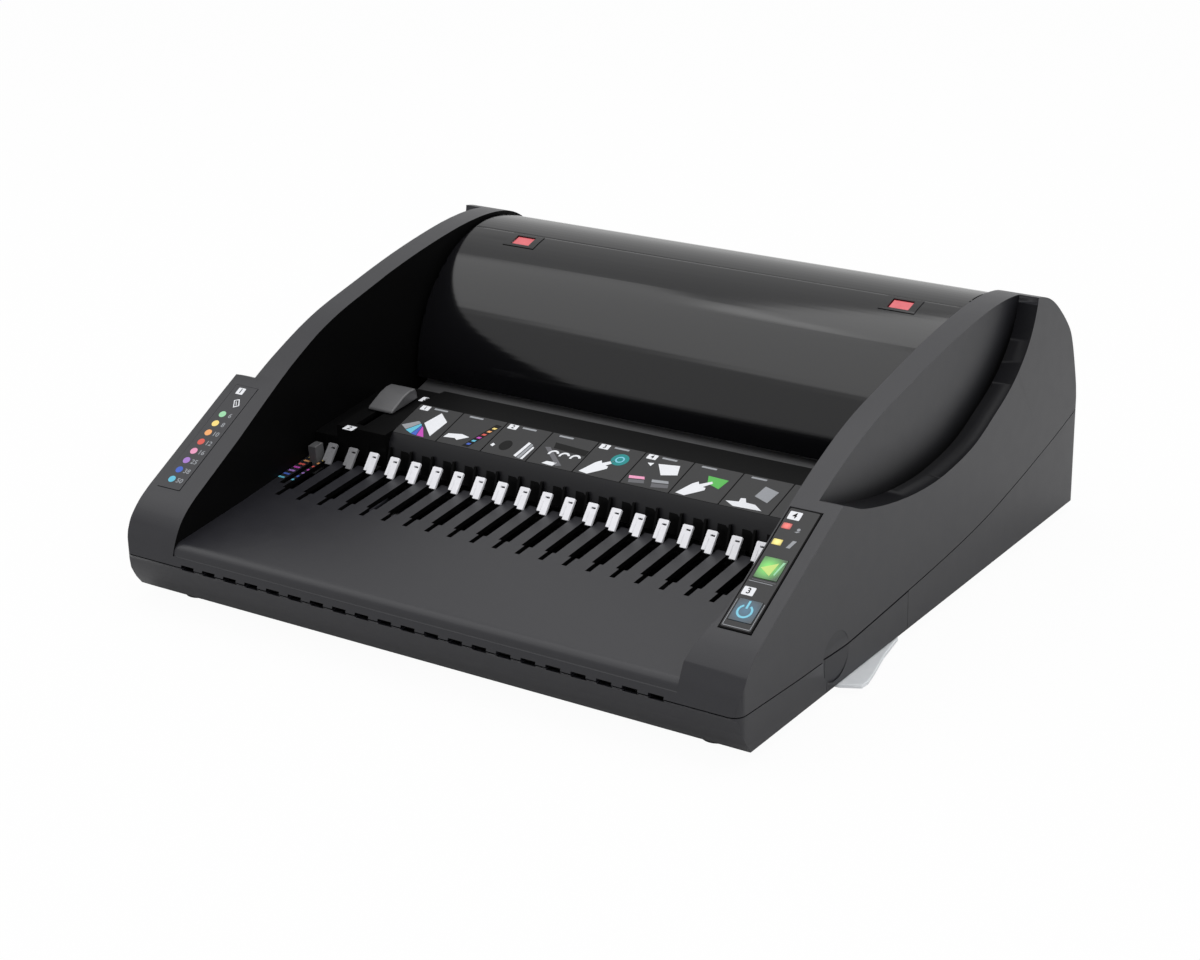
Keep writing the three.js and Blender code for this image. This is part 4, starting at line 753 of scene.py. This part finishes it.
# %% [markdown]
# ## Printed films and lit lenses
# The machine explains itself with prints: number tiles, small pictures without words and coloured dots. A
# print is a film 0.06 mm thick, so each one is cut out as a thin closed piece and laid on its plane, layer
# on layer. All shapes of one ink on one plane are joined. A lens or a lit key glows most at one point, as
# if a small lamp sits under it.

# %% Inks, lenses and the printing helper
INK = 0.06


def ink(name, red, green, blue, glow=0.0):
    """A printed film whose colour and sheen are a little uneven."""
    full, thin = (red, green, blue, 1), (red * 0.85, green * 0.85, blue * 0.85, 1)
    finish = Finish(name, Emission_Color=full, Emission_Strength=glow, Specular_IOR_Level=0.12)
    film = finish.noise(0.8, 3.0)
    finish.feed("Base Color", finish.mix(film, thin, full))
    finish.feed("Roughness", film * 0.12 + 0.34)
    return finish


def lit(name, centre, reach, dim, bright, glow):
    """A lens or a key that is lit from below, most at its centre."""
    finish = Finish(name, Emission_Strength=glow, Coat_Weight=0.3)
    near = finish.nearness(centre, reach)
    finish.feed("Base Color", finish.mix(near, dim, bright))
    finish.feed("Emission Color", finish.mix(near ** 1.4, (0, 0, 0, 1), bright))
    finish.feed("Roughness", finish.noise(0.6, 2.0) * 0.1 + 0.3)
    return finish


INKS = {name: ink(f"ink_{name}", *colour) for name, colour in {
    "white": (0.7, 0.71, 0.74), "pale": (0.28, 0.29, 0.31), "mid": (0.12, 0.12, 0.13),
    "black": (0.003, 0.003, 0.003), "red": (0.6, 0.1, 0.08), "orange": (0.78, 0.36, 0.14),
    "yellow": (0.8, 0.62, 0.2), "green": (0.1, 0.42, 0.09), "mint": (0.3, 0.6, 0.36),
    "cyan": (0.12, 0.45, 0.6), "blue": (0.06, 0.12, 0.48), "violet": (0.34, 0.18, 0.52),
    "magenta": (0.48, 0.07, 0.42), "pink": (0.72, 0.3, 0.46), "teal": (0.02, 0.22, 0.22),
    "sky": (0.2, 0.52, 0.66), "lime": (0.5, 0.66, 0.2),
}.items()}
INKS["film"] = film_grey


def rounded(across, upwards, width, height, radius):
    """A rectangle with round corners."""
    outline = []
    for turn, (i, j) in zip((180, 270, 0, 90), ((-1, -1), (1, -1), (1, 1), (-1, 1))):
        x, y = across + i * (width / 2 - radius), upwards + j * (height / 2 - radius)
        outline += circle(x, y, radius, 5, turn, turn + 90)
    return outline


def shifted(outline, across, upwards):
    return [(across + x, upwards + y) for x, y in outline]


class Printing:
    """All prints on one plane. Each ink becomes one piece that rides on a body."""

    def __init__(self, name, plane, body="case"):
        self.name, self.plane, self.body, self.sheets = name, plane, body, {}

    def shape(self, colour, outlines, level=0):
        """Adds a shape, its holes after its outline, on a layer."""
        self.sheets.setdefault(colour, []).append(cut_out("print", outlines, INK, level * INK))

    def number(self, colour, digits, across, upwards, size, level=1):
        nothing_selected()
        bpy.ops.object.text_add(location=(across * MM, upwards * MM, 0))
        drawn = bpy.context.object
        font = drawn.data
        font.body, font.size, font.offset, font.resolution_u = digits, size * MM, size * MM * 0.012, 3
        font.align_x = font.align_y = "CENTER"
        self.sheets.setdefault(colour, []).append(as_mesh(drawn, INK, level * INK))

    def tile(self, digits, across, upwards, width, height, level=1):
        """A white tile with a plain number."""
        self.shape("white", [rounded(across, upwards, width, height, 0.5)], level)
        self.number("black", digits, across, upwards, height * 0.95, level + 1)

    def done(self):
        for colour, pieces in self.sheets.items():
            sheet = placed(joined(f"{self.name}_{colour}", pieces), self.plane)
            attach(dressed(sheet, INKS[colour]), self.body)
        print(self.name, "inks", len(self.sheets))


# %% [markdown]
# ## The control panel
# A grey film lies on the black plate of the right arm, with openings for two lenses and two keys. Red and
# yellow tell of a fault, the green key punches, and the blue one switches the machine on. The keys move,
# so their prints ride with them.

# %% Film and tiles on the control panel
panel_print = Printing("panel_print", RIGHT_ARM)
openings = [rectangle(0, -26.15, 12.8, 13.4), rectangle(0, 0, 12.8, 13.4),
            rectangle(-4.72, 15.92, 5.2, 3.8), rectangle(-4.72, 26.15, 5.2, 3.8)]
panel_print.shape("film", [rounded(0, 0, 15.9, 74, 0.8), *openings])
panel_print.tile("4", -3.6, 32.8, 6.6, 5)
panel_print.tile("3", -4.1, -15, 6.2, 5)
for outline in (
    circle(2.2, 25.2, 0.9, 12), [(0.6, 23.6), (1.9, 23.2), (3.4, 24), (1.9, 24.1)],
    [(1, 13.6), (3, 13.6), (4.6, 18.4), (2.6, 18.4)], rectangle(-0.9, -8.9, 12.6, 0.34),
    rectangle(-7.2, -28.2, 0.3, 15.6), rectangle(7.2, -28.2, 0.3, 15.6), rectangle(0, -36.1, 14, 0.34),
):
    panel_print.shape("pale", [outline], 1)
panel_print.shape("mid", [rectangle(0.2, -7.8, 12.6, 0.34)], 1)
panel_print.done()

# %% Lenses and keys
for node, name, body, look, centre, *light in (
    ("lamp_red", "red_lamp_lens", "case",
     "red_lens", (-0.0047, 0.0262, 0), 3.4, (0.1, 0.02, 0.02, 1), (0.85, 0.12, 0.1, 1), 0.35),
    ("lamp_yellow", "yellow_lamp_lens", "case",
     "yellow_lens", (-0.0047, 0.0159, 0), 3.6, (0.35, 0.28, 0.05, 1), (0.85, 0.72, 0.2, 1), 0.3),
    ("punch_button", "punch_key", "punch_button",
     "green_key", (-0.0015, 0.0002, 0), 8.4, (0.01, 0.05, 0.012, 1), (0.16, 0.62, 0.1, 1), 0.22),
    ("power_button", "power_key", "power_button",
     "blue_key", (0, -0.0262, 0), 8.6, (0.004, 0.01, 0.016, 1), (0.02, 0.1, 0.17, 1), 0.12),
):
    finish = lit(look, RIGHT_ARM @ Vector(centre), *light)
    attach(dressed(rounded_copy(node, name, 0.14, 2), finish), body)

KEY_TOPS = sloping(PANEL_MIDDLE, ARM_LEAN, 0.6)
punch_print = Printing("punch_print", KEY_TOPS, "punch_button")
punch_print.shape("lime", [[(-5, -0.6), (1.2, -4.4), (2.6, 3.8)]])
punch_print.shape("mint", [[(3.6, -3.8), (5.6, 4.8), (4.4, 4.8), (2.9, -3)]])
punch_print.done()
power_print = Printing("power_print", KEY_TOPS, "power_button")
power_print.shape("sky", ring(-0.2, -26.6, 4.1, 3, -240, 60))
power_print.shape("sky", [rectangle(-0.2, -22.7, 1.1, 4.6)])
power_print.done()

# %% [markdown]
# ## The gauge and the scale
# On the left arm, eight coloured dots with plain numbers tell which comb fits how thick a stack. Beside
# the edge guide, bars in the same colours tell where to set it.

# %% Dots, numbers and bars
gauge_print = Printing("gauge_print", LEFT_ARM)
gauge_print.tile("1", -1.8, 34, 4.8, 4.6, 0)
page = [(-1.6, 27.2), (1.4, 28.6), (4.2, 24.2), (1.2, 22.2)]
gauge_print.shape("white", [page, [(-0.9, 27), (1.2, 27.9), (3.4, 24.3), (1.3, 23.1)]])
gauge_print.shape("white", [[(0.1, 26.6), (0.5, 26.8), (2.3, 24.2), (1.9, 24)]])
dots = ("mint", "yellow", "orange", "red", "pink", "violet", "blue", "cyan")
for i, (colour, digits) in enumerate(zip(dots, ("6", "8", "10", "12", "16", "25", "38", "50"))):
    height = 16.4 - 6.9 * i
    gauge_print.shape(colour, [circle(-2, height, 2.15, 20)])
    gauge_print.number("pale", digits, 3.4, height - 0.2, 4.3, 0)
gauge_print.done()

scale_print = Printing("scale_print", DECK)
for i, colour in enumerate(("cyan", "blue", "violet", "magenta", "red", "orange", "yellow")):
    scale_print.shape(colour, [rectangle(-155, 92 + 4.4 * i, 4, 1.7)])
    scale_print.shape(colour, [rectangle(-147.1, 92 + 4.4 * i, 1.3, 1.7)])
scale_print.done()
ledge_print = Printing("ledge_print", sloping(DECK_FRONT, DECK_LEAN, 18.4))
ledge_print.tile("2", -133.2, 127.6, 6.8, 5.2, 0)
ledge_print.tile("5", -117.2, 176, 7, 5.6, 0)
ledge_print.done()

# %% [markdown]
# ## The instruction panel
# Nine grey cells behind the hooks show the steps of binding, read from left to right. Each cell is a film
# with a few flat shapes: sheets, a comb strip, a hand that points. The real panel has short words above
# the pictures. Here pale bars stand in their place.

# %% Nine cells
guide_print = Printing("guide_print", GUIDE_PANEL)
CELL, CELL_LEFT, CELL_MIDDLE, CELL_HEIGHT = 29.49, -109.9, 13.9, 27.4
HAND = [(-10, -9.4), (-4.4, -10), (3.6, -4.2), (3.2, -2.6), (1.4, -2.4), (5, 1), (3.8, 2.2),
        (-1.6, -1.2), (-3, 0.4), (-5.4, -1.6)]
PICTURES = (
    (("white", [(2.6, 8.4), (10.6, 3.2), (8.8, -8.4), (-1.6, -0.6)]),
     ("pale", [(-13.4, -4.8), (-5.6, 0), (-3.2, -1.2), (-8.6, -7.2)]),
     ("cyan", [(-8.2, -7.6), (-2.9, -1.5), (-1.9, -2.2), (-3.4, -9.2)]),
     ("blue", [(-3, -9.4), (-1.6, -2.6), (-1, -3), (0.6, -9.8)]),
     ("magenta", [(1, -9.8), (-0.6, -3.2), (0.4, -3.8), (5.8, -10)])),
    (("white", [(-13, -6.8), (-6, -6), (-4, -7), (1.6, -3.4), (-4, -2.4), (-12, -3.8)]),
     ("black", [(1.8, -9.8), (6, -10), (13.4, 8.4), (9.6, 8.8)])),
    (("black", circle(-4, -3.4, 3.6, 20)), ("white", [(5.4, -8.8), (7.4, -9.4), (8.8, 1.4), (7, 1.8)]),
     ("pale", [(8, -9.6), (9.8, -9.9), (10.8, 0.6), (9.3, 1.1)]),
     ("white", [(10.4, -9.9), (12, -10), (12.6, -1), (11.4, -0.4)]),
     ("white", [(-12.6, -5.2), (-10.6, -6), (-10.2, -4.2), (-12, -3.6)])),
    (("black", [(-8, 5.6), (14, 4.4), (14, 0.6), (-6.4, 1.6)]),
     ("mid", [(-11.6, 1.2), (-8.6, 1.8), (6.4, -8.6), (3.6, -9.6)]),
     ("white", [(-5.4, -9.6), (1.6, -10), (3, -7.4), (-3.6, -7.6)])),
    (("white", shifted(HAND, -1.6, 0)),),
    (("white", [(-3.2, 6), (8.8, 7.6), (11.6, 1.4), (3, -0.8)]),
     ("white", [(-9.4, 5.4), (-6.4, 3.6), (-5.8, 6)]),
     ("pink", [(-13, -5), (-4.4, -4), (-3.2, -5.6), (-12, -6.8)]),
     ("mid", [(-11.6, -7.4), (-3, -6.2), (-1.8, -8.2), (-10.4, -9.6)]),
     ("pale", [(0.6, -4.6), (9.8, -3.6), (11, -5.2), (1.6, -6.4)]),
     ("mid", [(2, -7), (11.4, -5.8), (12.4, -8), (3.2, -9.6)])),
    (("green", [(-2, 5.4), (10.2, 5), (8.6, -1.6), (0.6, 0.6)]),),
    (("white", [(-12.6, -7.4), (-6.8, -9.8), (9.4, -9.2), (3.8, -6.2), (-1.6, -6), (-3.4, -3.6),
                (-6, -4), (-5.6, -6.4)]),
     ("pale", [(1.4, 6.4), (10.4, 4.4), (8.8, -3.6), (0, -1)])),
    (("white", [(-6, -4.2), (-1.8, -6.6), (4.8, -4.6), (7.6, 5.4), (-2.4, 7.4), (-4.8, 2)]),),
)


def taller(outline):
    """Stretches a picture to the height of its cell."""
    return [(x, y * 1.22 - 0.6) for x, y in outline]


cells = [CELL_LEFT + CELL * (i + 0.5) for i in range(len(PICTURES))]
NUMBERED = (0, 2, 4, 5)
for i, (middle, shapes) in enumerate(zip(cells, PICTURES)):
    guide_print.shape("film", [rounded(middle, CELL_MIDDLE, CELL - 0.8, CELL_HEIGHT, 0.5)])
    if i in NUMBERED:
        guide_print.tile(str(1 + NUMBERED.index(i)), middle - 9.6, CELL_MIDDLE + 11.1, 5.8, 4)
    heading = middle + (0.6 if i in NUMBERED else -5)
    guide_print.shape("pale", [rounded(heading, CELL_MIDDLE + 12, 9, 1.3, 0.4)], 1)
    for colour, outline in shapes:
        guide_print.shape(colour, [shifted(taller(outline), middle, CELL_MIDDLE)], 1)

second, fourth, fifth, seventh = (cells[i] for i in (1, 3, 4, 6))
RING = [(0, 0), (2.2, 0), (2.8, 1.5), (0.6, 1.5)]
for i, colour in enumerate(("blue", "cyan", "magenta", "red", "orange", "yellow")):
    guide_print.shape(colour, [shifted(RING, second + 3.4 + 1.2 * i, 3 + 3.3 * i)], 2)
for across in (-3.6, 3.2, 10):
    guide_print.shape("white", ring(fourth + across, CELL_MIDDLE - 3.4, 3.2, 1.9, 20, 200), 2)
guide_print.shape("teal", [circle(fifth + 4.6, CELL_MIDDLE + 3.4, 5, 20)], 1)
guide_print.shape("sky", ring(fifth + 4.6, CELL_MIDDLE + 3.4, 2.6, 1.8), 2)
guide_print.shape("white", [shifted(taller(HAND), seventh - 1.4, CELL_MIDDLE)], 2)
guide_print.done()

# %% [markdown]
# ## The drum lid
# The lid is the glossy quarter of a drum. A fine groove runs along it near the top: two cuts by planes
# through the drum's axis and one at each end mark a narrow strip, which is then pushed in. Each red window
# sits in a thin raised frame, made of the lid's own curved skin so that it follows the drum.

# %% Round the lid and cut its groove
DRUM, DRUM_RADIUS = case_point(0, 296, 60.5), 77.0
GROOVE_TURN, GROOVE_WIDTH, GROOVE_DEPTH, GROOVE_END, GROOVE_SKIN = -10.7, 0.7, 0.5, 157.0, 0.2


def round_drum(turn):
    """The direction away from the drum's axis at an angle from its top, to the rear."""
    return Vector((0, sin(radians(turn)), cos(radians(turn))))


def drum_turn(point):
    return degrees(atan2(point.y - DRUM.y, point.z - DRUM.z))


def drum_reach(point):
    """The distance in millimetres from the drum's axis."""
    return hypot(point.y - DRUM.y, point.z - DRUM.z) / MM


def cut_round_drum(turn, **keep):
    bpy.ops.mesh.select_all(action="SELECT")
    bpy.ops.mesh.bisect(plane_co=DRUM, plane_no=round_drum(turn + 90), **keep)


def cut_across(x, **keep):
    bpy.ops.mesh.select_all(action="SELECT")
    bpy.ops.mesh.bisect(plane_co=case_point(x, 0, 0), plane_no=(1, 0, 0), **keep)


half_groove = degrees(GROOVE_WIDTH / 2 / DRUM_RADIUS)


def in_groove(face):
    """The strip of the drum's skin between the four cuts."""
    middle = face.calc_center_median()
    in_strip = abs(drum_turn(middle) - GROOVE_TURN) < half_groove
    on_skin = drum_reach(middle) > DRUM_RADIUS - GROOVE_SKIN
    return in_strip and on_skin and abs(middle.x - DRUM.x) < GROOVE_END * MM


drum_lid = copy_of("lid", "drum_lid")
print("lid edges", round_edges(drum_lid, 0.5, 3))
inwards = {"value": round_drum(GROOVE_TURN) * -GROOVE_DEPTH * MM}
with editing(drum_lid):
    for turn in (GROOVE_TURN - half_groove, GROOVE_TURN + half_groove):
        cut_round_drum(turn)
    for x in (-GROOVE_END, GROOVE_END):
        cut_across(x)
    print("groove faces", pick(drum_lid, "FACE", in_groove))
    bpy.ops.mesh.extrude_region_move(TRANSFORM_OT_translate=inwards)
smooth_shading(drum_lid)
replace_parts(drum_lid, "lid")
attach(dressed(drum_lid, lid_gloss), "lid")

# %% Windows and their frames
WINDOW_TURN, FRAME_ARC, FRAME_WIDTH, FRAME_HEIGHT, FRAME_SKIN = -16.3, 4.7, 21.4, 0.4, 0.15


def off_skin(face):
    """All faces but those of the lid's outer skin at a window."""
    below = drum_reach(face.calc_center_median()) < DRUM_RADIUS - FRAME_SKIN
    return below or face.normal.dot(round_drum(WINDOW_TURN)) < 0.5


# The faint red glow of the windows is painted light: no lamp sits under them.
painted_red_glow = {"Emission_Color": (0.5, 0.05, 0.06, 1), "Emission_Strength": 0.12}
window_red = Finish("window_red", Coat_Weight=0.5, **painted_red_glow)
shade = window_red.noise(5.0, 2.0)
window_red.feed("Base Color", window_red.mix(shade, (0.42, 0.05, 0.06, 1), (0.6, 0.1, 0.12, 1)))
window_red.feed("Roughness", shade * 0.1 + 0.2)
for side, left in (("left", -129.6), ("right", 114.2)):
    lens = rounded_copy(f"lid_window_{side}", f"red_window_{side}", 0.2, 2)
    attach(dressed(lens, window_red), "lid")
    frame_piece = copy_of("lid", f"window_frame_{side}")
    with editing(frame_piece):
        cut_round_drum(WINDOW_TURN - FRAME_ARC, clear_inner=True)
        cut_round_drum(WINDOW_TURN + FRAME_ARC, clear_outer=True)
        cut_across(left, clear_inner=True)
        cut_across(left + FRAME_WIDTH, clear_outer=True)
        pick(frame_piece, "FACE", off_skin)
        bpy.ops.mesh.delete(type="FACE")
    wall = frame_piece.modifiers.new("wall", "SOLIDIFY")
    wall.thickness, wall.offset = FRAME_HEIGHT * MM, 1.0
    bpy.ops.object.modifier_apply(modifier="wall")
    smooth_shading(closed(frame_piece))
    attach(dressed(frame_piece, lid_gloss), "lid")
    print("window", side, "frame faces", len(frame_piece.data.polygons))

# %% [markdown]
# ## The works
# The parts inside keep their shape and get the finish of what they are made of.

# %% Dress the nodes that stay
for finish, names in (
    (steel_rod, "hinge_pin_left hinge_pin_right camshaft idler_shaft"), (charcoal, "gauge_label"),
    (inner_grey, "chip_chute rod_bracket_left rod_bracket_right"), (die_steel, "punch_comb"),
    (satin_black, "instruction_panel lid_switch hook_carriage"),
    (circuit_green, "control_board power_board"), (burnished_rod, "guide_rod_left guide_rod_right"),
    (spring_steel, "return_spring_left return_spring_right"), (sintered_bronze, "bush_left bush_right"),
    (gear_steel, "camshaft_gear idler_pinion idler_gear motor_pinion"),
):
    for node in names.split():
        dressed(NODES[node], finish)

# %% [markdown]
# ## Feet and screws
# They don't show in the photograph, but the machine can be seen from below too. Each rubber foot gets a
# shallow dish and each screw head a round socket: the end face is inset, then pushed in.

# %% Dish the feet and the screw heads
def dished(node, name, rim, depth, finish):
    """A copy of a node whose lowest faces are inset and pushed in."""
    piece = copy_of(node, name)
    lowest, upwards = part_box(node)[0].z, {"value": (0, 0, depth * MM)}
    with editing(piece):
        pick(piece, "FACE", lambda f: f.normal.z < -0.9 and abs(f.calc_center_median().z - lowest) < HAIR)
        bpy.ops.mesh.inset(thickness=rim * MM, depth=0)
        bpy.ops.mesh.extrude_region_move(TRANSFORM_OT_translate=upwards)
    round_edges(piece, 0.25, 2)
    smooth_shading(piece)
    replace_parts(piece, node)
    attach(dressed(piece, finish), "case")


for end in ("front", "rear"):
    for side in ("left", "right"):
        dished(f"foot_{end}_{side}", f"rubber_foot_{end}_{side}", 2.0, 0.8, foot_rubber)
        dished(f"case_screw_{end}_{side}", f"screw_{end}_{side}", 1.6, 1.2, zinc_plate)

# %% [markdown]
# ## Floor, light and background
# A plain pale floor carries the machine. The background is white because the floor and the world look
# white to the camera, and the world also through frosted plastic, not because the light is stronger.

# %% Build the studio
nothing_selected()
bpy.ops.mesh.primitive_plane_add(size=14.0, location=(0, 0, 0))
floor = named(bpy.context.object, "studio_floor")
floor_paint = Finish("floor_paint", Base_Color=grey(0.66), Roughness=0.85, Specular_IOR_Level=0.1)
glow = floor_paint.node("ShaderNodeEmission", {}, {"Color": grey(1.0), "Strength": 1.0})
seen = floor_paint.node("ShaderNodeLightPath", {}, {}, "Is Camera Ray")
floor_paint.blended(seen * 0.96, glow)
dressed(floor, floor_paint)

bpy.context.scene.world = world = bpy.data.worlds.new("studio_world")
world.use_nodes = True
sky = Net(world.node_tree)
background = sky.tree.nodes["Background"]
background.inputs["Color"].default_value = grey(1.0)
background.inputs["Strength"].default_value = 0.8
white = sky.node("ShaderNodeBackground", {}, {"Color": grey(1.0), "Strength": 1.0})
direct, through = (sky.node("ShaderNodeLightPath", {}, {}, f"Is {ray} Ray")
                   for ray in ("Camera", "Transmission"))
looks = {0: direct.maths("MAXIMUM", through), 1: Wire(sky, background.outputs[0]), 2: white}
choice = sky.node("ShaderNodeMixShader", {}, looks)
sky.tree.links.new(choice.socket, sky.tree.nodes["World Output"].inputs["Surface"])


def softbox(name, place, aim, size, power):
    lamp = bpy.data.lights.new(name, "AREA")
    lamp.shape = "RECTANGLE"
    lamp.size, lamp.size_y = size
    lamp.energy = power
    stand = added(name, lamp)
    stand.location = place
    stand.rotation_euler = (Vector(aim) - Vector(place)).to_track_quat("-Z", "Y").to_euler()


softbox("top_softbox", (0.1, 0.3, 1.7), (0, 0, 0.1), (1.8, 1.4), 14)
softbox("left_softbox", (-0.95, -0.62, 1.55), (0, 0, 0.1), (1.9, 1.1), 7)
softbox("front_right_softbox", (1.5, -1.0, 1.0), (0, 0, 0.1), (1.3, 1.1), 6)
bpy.context.scene.view_settings.view_transform = "Standard"
